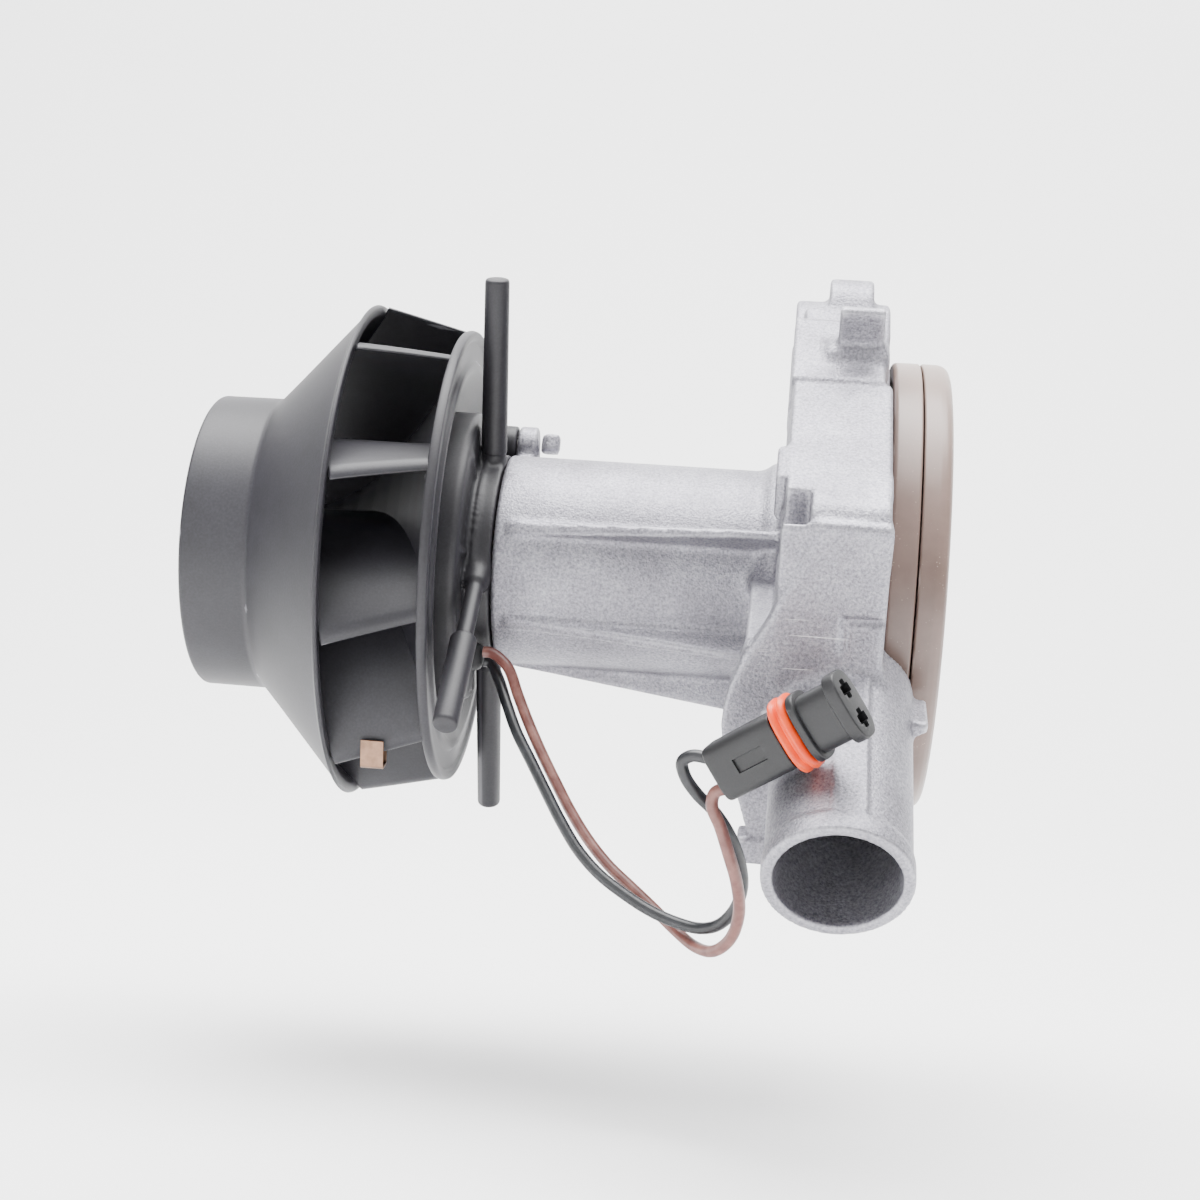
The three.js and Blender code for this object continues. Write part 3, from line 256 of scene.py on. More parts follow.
leads = {}
for name, route, dark, light, length in (
        ("black", BLACK_ROUTE, "#191a1d", "#2b2c30", 0.1261),
        ("brown", BROWN_ROUTE, "#6a403a", "#8a5f55", 0.1247)):
    path = smooth_route(route, 8)
    lead = tube(f"{name}_lead", path, np.full(len(path), LEAD_R), 20)
    lead.data.materials.append(wire_insulation(f"pvc_insulation_{name}", dark, light))
    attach(lead, "housing")
    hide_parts(f"lead_{name}")
    leads[name] = (lead, path, length)

# ---- Blower casting --------------------------------------------------------------------------
# One aluminium pressure die-casting: ribbed motor barrel, flange, side channel and inlet stub.
# Its own frame is turned -50 degrees about the shaft: -Z runs down the stub, -Y is the cheek.
TILT = math.radians(-50)
CELL = 0.6
GRID_LOW, GRID_HIGH = np.array([-79.2, -63.0, -94.2]), np.array([11.4, 48.0, 48.0])


class Casting:
    """A solid held as distances to its skin on a grid: below zero is metal. Each shape is added or
    carved on its own part of the grid, with a fillet of the given width where the two meet."""

    def __init__(self, low, high, cell):
        self.axes = [np.arange(a, b + cell, cell, dtype=np.float32) for a, b in zip(low, high)]
        self.cell = cell
        self.field = np.full([len(a) for a in self.axes], 9.0, np.float32)

    def patch(self, low, high, margin):
        """The part of the grid round a box, and its coordinates."""
        cuts = [slice(*np.searchsorted(axis, (lo - margin, hi + margin)))
                for axis, lo, hi in zip(self.axes, low, high)]
        x, y, z = (axis[s] for axis, s in zip(self.axes, cuts))
        return tuple(cuts), x[:, None, None], y[None, :, None], z[None, None, :]

    def blend(self, shape, fillet, sign):
        """Smooth union for sign 1: the lesser distance, lowered by up to a quarter of the fillet
        where both are near; for sign -1 the same on the opposite side of the skin."""
        distance, low, high = shape
        cuts, x, y, z = self.patch(low, high, fillet + 2.5)
        old = sign * self.field[cuts]
        new = distance(x, y, z)
        near = np.maximum(fillet - np.abs(old - new), 0)
        self.field[cuts] = sign * (np.minimum(old, new) - near * near / (4 * fillet))

    def add(self, *shapes, fillet=0.9):
        for shape in shapes:
            self.blend(shape, fillet, 1)

    def carve(self, *shapes, fillet=0.5):
        for shape in shapes:
            self.blend(shape, fillet, -1)

    def skin(self):
        """Surface nets: one corner in each cell that the skin crosses, at the mean of the crossings
        on the cell's edges, and one quad round each grid edge that the skin crosses. The corners
        are then drawn onto the skin along the distance's slope."""
        f = self.field
        inside = f < 0
        corner = [(i, j, k) for i in (0, 1) for j in (0, 1) for k in (0, 1)]
        part = [tuple(slice(c, n - 1 + c) for c, n in zip(at, f.shape)) for at in corner]
        count = sum(inside[p].astype(np.int8) for p in part)
        cells = np.argwhere((count > 0) & (count < 8))
        values = np.stack([f[tuple((cells + at).T)] for at in corner], 1)
        total = np.zeros((len(cells), 3))
        crossings = np.zeros(len(cells))
        for a, at in enumerate(corner):
            for axis in range(3):
                if at[axis]:
                    continue
                b = a + (4, 2, 1)[axis]
                va, vb = values[:, a], values[:, b]
                hit = (va < 0) != (vb < 0)
                share = np.where(hit, va / np.where(hit, va - vb, 1), 0)
                place = np.tile(np.array(at, float), (len(cells), 1))
                place[:, axis] += share
                total += place * hit[:, None]
                crossings += hit
        points = cells + total / crossings[:, None]
        number = np.full(f.shape, -1, np.int64)
        number[tuple(cells.T)] = np.arange(len(cells))
        quads = []
        for axis in range(3):
            along = [slice(None)] * 3
            first, second = list(along), list(along)
            first[axis], second[axis] = slice(0, -1), slice(1, None)
            change = inside[tuple(first)] != inside[tuple(second)]
            edges = np.argwhere(change)
            u, v = [(1, 2), (2, 0), (0, 1)][axis]
            edges = edges[(edges[:, u] > 0) & (edges[:, v] > 0)]
            back_u, back_v = np.zeros(3, int), np.zeros(3, int)
            back_u[u], back_v[v] = 1, 1
            ring = np.stack([number[tuple((edges - shift).T)] for shift in
                             (back_u + back_v, back_v, 0 * back_u, back_u)], 1)
            enters = ~inside[tuple(edges.T)]
            ring[enters] = ring[enters][:, ::-1]
            quads.append(ring)
        quads = np.concatenate(quads)
        for _ in range(3):
            points = self.draw_in(points)
        low = np.array([axis[0] for axis in self.axes])
        return low + points * self.cell, quads

    def draw_in(self, points):
        """One step onto the skin: minus the distance times the slope over the slope squared, with
        both read between the grid points by linear weights."""
        base = np.clip(np.floor(points).astype(int), 0, np.array(self.field.shape) - 2)
        t = points - base
        value, slope = np.zeros(len(points)), np.zeros((len(points), 3))
        for i in (0, 1):
            for j in (0, 1):
                for k in (0, 1):
                    f = self.field[base[:, 0] + i, base[:, 1] + j, base[:, 2] + k]
                    w = [t[:, a] if c else 1 - t[:, a] for a, c in enumerate((i, j, k))]
                    value += f * w[0] * w[1] * w[2]
                    slope[:, 0] += f * (2 * i - 1) * w[1] * w[2]
                    slope[:, 1] += f * (2 * j - 1) * w[0] * w[2]
                    slope[:, 2] += f * (2 * k - 1) * w[0] * w[1]
        step = (value / np.maximum((slope ** 2).sum(1), 0.05))[:, None] * slope
        return points - 0.7 * np.clip(step, -0.5, 0.5)


def rounded(parts, edge):
    """The distance to a body that is the overlap of walls, given the distance to each wall, with
    its edges rounded by a radius."""
    grown = [p + edge for p in parts]
    inner = grown[0]
    outer = np.maximum(grown[0], 0) ** 2
    for p in grown[1:]:
        inner = np.maximum(inner, p)
        outer = outer + np.maximum(p, 0) ** 2
    return np.minimum(inner, 0) + np.sqrt(outer) - edge


def box(low, high, edge=0.4):
    """A box between two corners."""
    mid, half = (np.add(low, high)) / 2, (np.subtract(high, low)) / 2
    return (lambda x, y, z: rounded([abs(x - mid[0]) - half[0], abs(y - mid[1]) - half[1],
                                     abs(z - mid[2]) - half[2]], edge), low, high)


def rod(start, end, radius, end_radius=None, edge=0.3):
    """A round bar or cone between two points."""
    a, b = np.array(start, float), np.array(end, float)
    length = np.linalg.norm(b - a)
    way = (b - a) / length
    far = radius if end_radius is None else end_radius
    widest = max(radius, far)

    def distance(x, y, z):
        x, y, z = x - a[0], y - a[1], z - a[2]
        along = x * way[0] + y * way[1] + z * way[2]
        out = np.sqrt(np.maximum(x * x + y * y + z * z - along * along, 1e-9))
        local = radius + (far - radius) * np.clip(along / length, 0, 1)
        return rounded([out - local, abs(along - length / 2) - length / 2], edge)
    return distance, np.minimum(a, b) - widest, np.maximum(a, b) + widest


def ring(x0, x1, inner, outer, edge=0.3):
    """A ring about the shaft; an inner radius of 0 makes it a disc."""
    def distance(x, y, z):
        out = np.sqrt(y * y + z * z)
        walls = [out - outer, abs(x - (x0 + x1) / 2) - (x1 - x0) / 2]
        return rounded(walls + ([inner - out] if inner else []), edge)
    return distance, [x0, -outer, -outer], [x1, outer, outer]


def outline_distance(u, v, corners):
    """Distance in the plane to a closed outline of straight edges, negative inside: the nearest
    point of each edge gives the size, and edges crossed by a level ray give the sign."""
    best, sign = np.full(np.broadcast(u, v).shape, 1e9, np.float32), 1.0
    for (au, av), (bu, bv) in zip(corners, corners[1:] + corners[:1]):
        eu, ev = bu - au, bv - av
        wu, wv = u - au, v - av
        t = np.clip((wu * eu + wv * ev) / (eu * eu + ev * ev), 0, 1)
        best = np.minimum(best, (wu - eu * t) ** 2 + (wv - ev * t) ** 2)
        above, below = v >= av, v < bv
        left = eu * wv > ev * wu
        flip = (above & below & left) | (~above & ~below & ~left)
        sign = sign * np.where(flip, -1.0, 1.0)
    return np.sqrt(best) * sign


def plate(corners, low, high, plane="xy", edge=0.5, corner_radius=0.0):
    """A flat plate with a given outline, in the plane of two axes and thick along the third."""
    order = {"xy": (0, 1, 2), "yz": (1, 2, 0), "xz": (0, 2, 1)}[plane]
    corners = [tuple(float(c) for c in corner) for corner in corners]

    def distance(*places):
        u, v, w = (places[k] for k in order)
        flat = outline_distance(u, v, corners) - corner_radius
        return rounded([flat, abs(w - (low + high) / 2) - (high - low) / 2], edge)
    spans = [(min(c[0] for c in corners), max(c[0] for c in corners)),
             (min(c[1] for c in corners), max(c[1] for c in corners)), (low, high)]
    lo, hi = [0.0] * 3, [0.0] * 3
    for k, (a, b) in zip(order, spans):
        lo[k], hi[k] = a - corner_radius, b + corner_radius
    return distance, lo, hi


def rib(angle, profile, root, tip, reach):
    """A barrel rib: a flat outline of distance along the shaft and radius, drafted from its root
    thickness to its tip thickness, and turned about the shaft. 0 stands on the -Z side."""
    c, s = math.cos(math.radians(angle)), math.sin(math.radians(angle))
    foot = min(r for _, r in profile)

    def distance(x, y, z):
        radius = -(z * c - y * s)
        side = y * c + z * s
        half = root + (tip - root) * np.clip((radius - foot) / 8, 0, 1)
        return rounded([outline_distance(x + 0 * radius, radius + 0 * x, profile), abs(side) - half], 0.35)
    lo = [min(x for x, _ in profile), -reach, -reach]
    return distance, lo, [max(x for x, _ in profile), reach, reach]


def on_casting(radius, degrees):
    """(y, z) at a radius and an angle about the shaft in the casting's frame; 0 up, 90 is -Y."""
    return -radius * math.sin(math.radians(degrees)), radius * math.cos(math.radians(degrees))


BARREL_LEFT, FLANGE_LEFT, BULKHEAD_LEFT = -75.0, -19.0, -24.0
BARREL_R, BARREL_BORE = 21.3, 18.8
STUB_X, STUB_Y, STUB_R, STUB_BORE, STUB_END = -5.6, -10.3, 13.0, 10.85, 93.2
WALL_LEAN, WALL_DEPTH = math.radians(-19), 59.3
BOLT_SPOTS = [(-38, -38), (-38, 38), (38, -38), (38, 38)]
EARS = (28, -62)

cast = Casting(GRID_LOW, GRID_HIGH, CELL)
square = [(-32, -32), (32, -32), (32, 32), (-32, 32)]
cast.add(plate(square, FLANGE_LEFT, 0, "yz", 0.9, 12))

# The side cheek with its step, and the shoulder block that rounds it into the lower wall.
cast.add(box([-18.6, -50, -38], [0, -38, -3], 0.8), box([-19, -50.8, -3.4], [-1.5, -38, 18], 0.7), fillet=1.2)
cast.add(box([-17.4, -48.4, 17], [-3, -38, 27], 1.5), fillet=2.5)
cast.add(plate([(-44.5, -40.5), (-34, -40.5), (-34, -34), (-44.5, -34)], -14, 0, "yz", 0.7, 5.4), fillet=0.8)
cast.add(box([-20.5, -49.6, -34], [-13.4, -40, -24], 0.8), fillet=1.0)

# The locating tab stands out of the cheek on a wide concave root.
cast.add(box([-12.2, -52.5, 3.4], [-1.6, -46, 8.8], 1.0), fillet=3.5)
cast.add(box([-10.7, -60.6, 4.9], [-2.2, -48, 7.1], 0.45), fillet=1.6)


def leaning(shape):
    """A shape made square to the lower wall, turned with it about the shaft."""
    distance, low, high = shape
    c, s = math.cos(WALL_LEAN), math.sin(WALL_LEAN)
    ys, zs = zip(*[(y * c - z * s, y * s + z * c) for y in (low[1], high[1]) for z in (low[2], high[2])])
    return (lambda x, y, z: distance(x, y * c + z * s, z * c - y * s),
            [low[0], min(ys), min(zs)], [high[0], max(ys), max(zs)])


# The lower wall leans outwards like a scroll, swells over the barrel and has two webs behind it.
wall = [(0, -30.5), (-12, -31), (-13.5, -27.2), (-16.8, -19.6), (-20.6, -11.9), (-24.3, -5), (-26.2, 0),
        (-27, 4), (-27.3, 8), (-26.9, 11), (-26.3, 13.6), (-24.1, 20.4), (-21.8, 27.8), (-19.2,
        34.5), (0, 34.5)]
scroll = [(-31, -58.5), (34.5, -58.5), (42, -38), (30, -30), (-20, -50)]
cast.add(leaning(plate(scroll, FLANGE_LEFT, 0, "yz", 0.7)), fillet=1.5)
cast.add(leaning(plate(wall, -WALL_DEPTH, -WALL_DEPTH + 3.7, "xy", 0.6)), fillet=1.6)
for side in (-6, 17):
    cast.add(leaning(box([-24, side - 1.4, -WALL_DEPTH + 1], [-17, side + 1.4, -18.5], 0.6)), fillet=1.8)
for y, z in BOLT_SPOTS[1:]:
    cast.add(rod([-12.4, y, z], [-3.5, y, z], 8.5, edge=0.8), fillet=1.6)

# Barrel, five drafted ribs and the ears that take the end cover's screws.
cast.add(ring(BARREL_LEFT, FLANGE_LEFT + 1, BARREL_BORE - 1, BARREL_R, 0.5), fillet=3.0)
cast.add(ring(FLANGE_LEFT - 2.5, FLANGE_LEFT + 1, BARREL_BORE - 1, BARREL_R + 1.0, 0.8), fillet=3.5)
rib_profile = [(-72, 20.3), (-18, 20.3), (-18, 27.8), (-27, 27.8), (-70.5, 21.9), (-72, 21.4)]
for angle in (-55, -3, 50, 103, 155):
    cast.add(rib(angle, rib_profile, 1.45, 0.75, 30), fillet=1.3)
for degrees in EARS:
    y, z = on_casting(26, degrees)
    cast.add(rod([BARREL_LEFT, y, z], [BARREL_LEFT + 4, y, z], 4.2, edge=0.5), fillet=1.6)
    cast.add(rod([BARREL_LEFT + 2, 0.8 * y, 0.8 * z], [BARREL_LEFT + 2, y, z], 2, edge=0.5), fillet=2.5)
    cast.add(plate([(y * 0.78 - z * 0.1, z * 0.78 + y * 0.1), (y * 0.78 + z * 0.1, z * 0.78 - y * 0.1),
                    (y * 0.98, z * 0.98)], BARREL_LEFT + 0.4, BARREL_LEFT + 3.6, "yz", 0.5, 1.2), fillet=1.2)
y, z = on_casting(BARREL_R + 2.5, -EARS[0] - 6)
y2, z2 = on_casting(BARREL_R + 6.3, -EARS[0] - 6)
y, z, y2, z2 = -y, z, -y2, z2
cast.add(rod([-68, y, z], [-68, y2, z2], 1.9, edge=0.4), fillet=1.5)

# Inlet stub: a swollen root, the pipe, a raised lip, and the shelf beside it.
def stub(depth, end, radius, end_radius=None, edge=0.3):
    return rod([STUB_X, STUB_Y, -depth], [STUB_X, STUB_Y, -end], radius, end_radius, edge)


cast.add(stub(46, STUB_END, STUB_R - 0.45), fillet=2.6)
cast.add(stub(STUB_END - 4.2, STUB_END, STUB_R - 0.05, edge=0.45), fillet=0.5)
cast.add(box([STUB_X - 1.9, STUB_Y - STUB_R + 0.25, -STUB_END + 4.4],
             [STUB_X + 3.9, STUB_Y - 6, -50], 0.3), fillet=0.6)
shelf = [(-1, 4.2), (9.4, 4.7), (9.2, 6.6), (2, 9.6), (-1, 10.6)]
cast.add(leaning(plate(shelf, -WALL_DEPTH, -48, "xy", 0.45)), fillet=1.0)
cast.add(leaning(box([-23.2, 29.6, -59.9], [-12, 34.9, -54], 0.6)), fillet=0.6)

# Hollows: bore, bulkhead, side channel with its stripper, inlet passage, outlet, recess, holes.
cast.carve(ring(BARREL_LEFT - 3, BULKHEAD_LEFT, 0, BARREL_BORE, 0.3))
cast.carve(ring(BULKHEAD_LEFT - 3, 4, 0, 9.8, 0.2))
channel = ring(-9, 4, 27, 41, 1.4)
stripper = box([-11, -46, -18], [6, -15, 8], 0.6)
cast.carve((lambda x, y, z: np.maximum(channel[0](x, y, z), -stripper[0](x, y, z)), *channel[1:]))
cast.carve(stub(50, STUB_END + 4, STUB_BORE, edge=0.1))
cast.carve(box([-16, STUB_Y - 8, -55], [-2.5, STUB_Y + 8, -37], 1.5))
cast.carve(box([-9, -43, 12], [4, -37, 24], 0.6))
cast.carve(ring(0, 15, 0, 46.0, 0.1), fillet=0.25)
cast.carve(leaning(box([-7.2, -14.1, -62], [4, -13.1, -58.7], 0.2)),
           leaning(box([-7.2, -14.1, -62], [-6.3, -7.6, -58.7], 0.2)), fillet=0.5)
cast.carve(box([-19.3, -47.2, -30.4], [-15.2, -45.9, -23], 0.2), fillet=0.3)
for y, z in BOLT_SPOTS:
    cast.carve(rod([-30, y, z], [4, y, z], 3.2, edge=0.1))
for degrees in EARS:
    y, z = on_casting(26, degrees)
    cast.carve(rod([BARREL_LEFT - 3, y, z], [BARREL_LEFT + 8, y, z], 1.8, edge=0.1))
for degrees in (90, 210, 330):
    y, z = on_casting(13, degrees)
    cast.carve(rod([BULKHEAD_LEFT - 3, y, z], [4, y, z], 1.8, edge=0.1),
               rod([FLANGE_LEFT + 1, y, z], [4, y, z], 3.5, edge=0.1))
cast_points, cast_faces = cast.skin()
turned = np.array([[1, 0, 0], [0, math.cos(TILT), math.sin(TILT)], [0, -math.sin(TILT), math.cos(TILT)]])
blower_casting = new_piece("blower_casting_skin", cast_points @ turned * MM, cast_faces, 60)


def thin_out(piece, share):
    """Merges faces where the skin is flat until a share of them is left, and keeps the result."""
    modifier = piece.modifiers.new("thin_out", "DECIMATE")
    modifier.ratio = share
    bpy.context.view_layer.update()
    result = bpy.data.meshes.new_from_object(piece.evaluated_get(bpy.context.evaluated_depsgraph_get()))
    piece.modifiers.clear()
    piece.data = result
    result.polygons.foreach_set("use_smooth", np.ones(len(result.polygons), bool))
    result.set_sharp_from_angle(angle=math.radians(60))


thin_out(blower_casting, min(1.0, 88000 / len(cast_faces)))


def die_cast_aluminium():
    """Pressure die-cast aluminium, blasted: a sandy satin grey of 0.3 mm grains, brighter where it
    has been rubbed on its edges, with soft stains, a few pits and scratches on the lower wall, and a
    painted highlight: a near-white patch on its upper front."""
    material, tree = blank_material("die_cast_aluminium")
    place = add_node(tree, "ShaderNodeTexCoord").outputs["Object"]
    stain = add_node(tree, "ShaderNodeTexNoise", Vector=place, Scale=55.0, Detail=5.0, Roughness=0.6)
    grain = add_node(tree, "ShaderNodeTexNoise", Vector=place, Scale=1900.0, Detail=3.0, Roughness=0.7)
    sand = add_node(tree, "ShaderNodeTexVoronoi", Vector=place, Scale=2300.0)
    base = add_node(tree, "ShaderNodeValToRGB", s0=stain.outputs["Fac"])
    set_ramp(base, (0.3, "#97959c"), (0.72, "#b9b8bf"))
    dark = add_node(tree, "ShaderNodeValToRGB", s0=grain.outputs["Fac"])
    set_ramp(dark, (0.33, "#b4b3b8"), (0.66, "#ffffff"))
    speckled = add_node(tree, "ShaderNodeMix", {"data_type": "RGBA", "blend_type": "MULTIPLY"},
                        s0=1.0, s6=base.outputs["Color"], s7=dark.outputs["Color"])
    edge = add_node(tree, "ShaderNodeNewGeometry").outputs["Pointiness"]
    worn = add_node(tree, "ShaderNodeMapRange", Value=edge, From_Min=0.525, From_Max=0.6, To_Max=0.6)
    bright = add_node(tree, "ShaderNodeMix", {"data_type": "RGBA"}, s0=worn.outputs["Result"],
                      s6=speckled.outputs[2], s7=colour("#dcdbe0"))
    lean = add_node(tree, "ShaderNodeMapping", Vector=place, Rotation=(0.0, math.radians(14), 0.0),
                    Scale=(45.0, 45.0, 1500.0))
    scratch = add_node(tree, "ShaderNodeTexNoise", Vector=lean.outputs[0], Scale=1.0, Detail=2.0)
    thin = add_node(tree, "ShaderNodeMapRange", Value=scratch.outputs["Fac"], From_Min=0.62, From_Max=0.68)
    centre = add_node(tree, "ShaderNodeVectorMath", {"operation": "DISTANCE"}, s0=place,
                      s1=(-0.0142, -0.0581, -0.0141))
    zone = add_node(tree, "ShaderNodeMapRange", Value=centre.outputs["Value"], From_Min=0.009, From_Max=0.004)
    rubbed = add_node(tree, "ShaderNodeMath", {"operation": "MULTIPLY"}, s0=thin.outputs["Result"],
                      s1=zone.outputs["Result"])
    scuffed = add_node(tree, "ShaderNodeMix", {"data_type": "RGBA"}, s0=rubbed.outputs[0],
                       s6=bright.outputs[2], s7=colour("#f2f2f4"))
    # Painted highlight: a near-white patch with a ragged border round one fixed spot on the upper front of
    # the casting.
    highlight_border_noise = add_node(tree, "ShaderNodeTexNoise", Vector=place, Scale=160.0, Detail=3.0)
    far = add_node(tree, "ShaderNodeVectorMath", {"operation": "DISTANCE"}, s0=place,
                   s1=(-0.0115, -0.0425, 0.0195))
    ragged = add_node(tree, "ShaderNodeMath", {"operation": "MULTIPLY_ADD"}, s0=highlight_border_noise.outputs["Fac"],
                      s1=0.006, s2=far.outputs["Value"])
    patch = add_node(tree, "ShaderNodeMapRange", Value=ragged.outputs[0], From_Min=0.0088, From_Max=0.0082)
    with_painted_highlight = add_node(tree, "ShaderNodeMix", {"data_type": "RGBA"}, s0=patch.outputs["Result"],
                        s6=scuffed.outputs[2], s7=colour("#f6f4f6"))
    rough = add_node(tree, "ShaderNodeMapRange", Value=grain.outputs["Fac"], To_Min=0.42, To_Max=0.62)
    height = add_node(tree, "ShaderNodeMath", {"operation": "MULTIPLY_ADD"}, s0=sand.outputs["Distance"],
                      s1=0.8, s2=grain.outputs["Fac"])
    bump = add_node(tree, "ShaderNodeBump", Height=height.outputs[0], Strength=0.55, Distance=0.00012)
    shader = add_node(tree, "ShaderNodeBsdfPrincipled", Base_Color=with_painted_highlight.outputs[2], Metallic=0.85,
                      Roughness=rough.outputs["Result"], Normal=bump.outputs["Normal"])
    add_node(tree, "ShaderNodeOutputMaterial", Surface=shader.outputs[0])
    return material


blower_casting.data.materials.append(die_cast_aluminium())
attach(blower_casting, "housing")
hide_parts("blower_casting")

# ---- Connector -------------------------------------------------------------------------------
# A two-way sealed plug moulded in black PA66: a gripped rear part, a collar, and a nose with two
# cross-shaped cavities. Its axis leans over the inlet stub, on which it lies.
PLUG_AT = np.array([-15.7, -76.0, -28.8])
plug_way = np.array([0.757, -0.43, 0.487])
plug_way /= np.linalg.norm(plug_way)
plug_long = np.array([0.56, 0.06, -0.82])
plug_long -= plug_way * plug_long.dot(plug_way)
plug_long /= np.linalg.norm(plug_long)
plug_axes = np.array([plug_way, np.cross(plug_long, plug_way), plug_long])


def loft(name, stations, sides=96, sharp=35, place=None):
    """A body along the plug's axis: each station is a place, two half sizes and a power; its ring
    is |s/a|^n + |l/b|^n = 1 with that power, so 2 is an ellipse and 8 nearly a rectangle."""
    x, a, b, n = (np.array(v, float)[:, None] for v in zip(*stations))
    turn = np.linspace(0, 2 * math.pi, sides, endpoint=False)[None, :]
    c, s = np.cos(turn), np.sin(turn)
    reach = (np.abs(c) ** n + np.abs(s) ** n) ** (-1 / n)
    local = np.stack([x + 0 * turn, a * reach * c, b * reach * s], -1).reshape(-1, 3)
    points = PLUG_AT + local @ plug_axes if place is None else place(local)
    piece = new_piece(name, points * MM, closed_grid(len(stations), sides), sharp)
    close_ends(piece, sides)
    return piece


def edge_round(x, a, b, n, r, way, steps=5):
    """Stations that round a loft's end over a radius: the section shrinks along a quarter circle."""
    angle = np.linspace(0, math.pi / 2, steps)
    shrink = r * (1 - np.cos(angle))
    rows = [(x + way * r * math.sin(t), a - s, b - s, n) for t, s in zip(angle, shrink)]
    return rows if way > 0 else rows[::-1]


def body_stations():
    rows = edge_round(-13.3, 3.9, 5.1, 5, 0.7, -1)
    rows += [(-12.0, 3.9, 5.1, 5), (-5.2, 3.95, 5.15, 5), (-5.0, 3.95, 5.15, 5)]
    rows += edge_round(0.1, 3.95, 5.15, 5, 0.3, 1)
    rows += [(0.4, 3.1, 5.3, 3.2), (4.3, 3.1, 5.3, 3.2)]
    rows += edge_round(4.5, 4.1, 6.2, 3.2, 0.25, -1) + edge_round(5.4, 4.1, 6.2, 3.2, 0.3, 1)
    rows += [(5.75, 3.3, 5.2, 3.2), (11.5, 3.25, 5.2, 3.2)]
    rows += edge_round(11.9, 3.7, 6.2, 3, 0.25, -1) + edge_round(13.7, 3.7, 6.2, 3, 0.3, 1)
    return rows


connector = loft("connector_body", body_stations())


def cut_with(piece, cutters):
    """Cuts closed meshes out of a piece and keeps the result."""
    for cutter in cutters:
        modifier = piece.modifiers.new("cut", "BOOLEAN")
        modifier.operation, modifier.solver, modifier.object = "DIFFERENCE", "EXACT", cutter
    bpy.context.view_layer.update()
    result = bpy.data.meshes.new_from_object(piece.evaluated_get(bpy.context.evaluated_depsgraph_get()))
    piece.modifiers.clear()
    piece.data = result
    result.polygons.foreach_set("use_smooth", np.ones(len(result.polygons), bool))
    result.set_sharp_from_angle(angle=math.radians(35))
    for cutter in cutters:
        bpy.data.objects.remove(cutter)


cavities = []
for side in (-1, 1):
    for half_short, half_long in ((1.75, 0.85), (0.85, 1.75)):
        shift = np.array([0, 0, side * 2.75])
        cavities.append(loft("cavity", [(5.5, half_short, half_long, 9), (15, half_short, half_long, 9)], 40,
                             place=lambda local, shift=shift: PLUG_AT + (local + shift) @ plug_axes))
latch = loft("latch_slot", [(-9, 0.5, 1.3, 9), (-3, 0.5, 1.3, 9)], 24,
             place=lambda local: PLUG_AT + (local + np.array([0, 3.95, 0])) @ plug_axes)
cut_with(connector, cavities + [latch])


def moulded_plastic(name, dark, light, rough, grain_mm, bump_mm, edge="#77767c", gloss=0.5):
    """Moulded glass-filled plastic: near black, with a fine spark-eroded grain, greyer where dust
    and handling have worn it and along its thin edges."""
    material, tree = blank_material(name)
    place = add_node(tree, "ShaderNodeTexCoord").outputs["Object"]
    cloud = add_node(tree, "ShaderNodeTexNoise", Vector=place, Scale=38.0, Detail=4.0, Roughness=0.6)
    grain = add_node(tree, "ShaderNodeTexNoise", Vector=place, Scale=1000.0 / grain_mm, Detail=2.0)
    base = add_node(tree, "ShaderNodeValToRGB", s0=cloud.outputs["Fac"])
    set_ramp(base, (0.35, dark), (0.7, light))
    point = add_node(tree, "ShaderNodeMapRange", Value=grain.outputs["Fac"], From_Min=0.35, From_Max=0.75,
                     To_Min=0.82, To_Max=1.25)
    speckled = add_node(tree, "ShaderNodeVectorMath", {"operation": "SCALE"}, s0=base.outputs["Color"],
                        Scale=point.outputs["Result"])
    bend = add_node(tree, "ShaderNodeNewGeometry").outputs["Pointiness"]
    nicks = add_node(tree, "ShaderNodeTexNoise", Vector=place, Scale=260.0, Detail=3.0)
    ragged = add_node(tree, "ShaderNodeMath", {"operation": "MULTIPLY_ADD"}, s0=nicks.outputs["Fac"],
                      s1=0.06, s2=bend)
    worn = add_node(tree, "ShaderNodeMapRange", Value=ragged.outputs[0], From_Min=0.585, From_Max=0.66,
                    To_Max=0.6)
    final = add_node(tree, "ShaderNodeMix", {"data_type": "RGBA"}, s0=worn.outputs["Result"],
                     s6=speckled.outputs[0], s7=colour(edge))
    bump = add_node(tree, "ShaderNodeBump", Height=grain.outputs["Fac"], Strength=0.5,
                    Distance=bump_mm * MM)
    shader = add_node(tree, "ShaderNodeBsdfPrincipled", Base_Color=final.outputs[2], Roughness=rough,
                      IOR=1.5, Specular_IOR_Level=gloss, Normal=bump.outputs["Normal"])
    add_node(tree, "ShaderNodeOutputMaterial", Surface=shader.outputs[0])
    return material


connector.data.materials.append(
    moulded_plastic("pa66_connector", "#131315", "#1c1c1f", 0.46, 0.35, 0.02, "#55555a"))
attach(connector, "housing")
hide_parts("connector_housing")
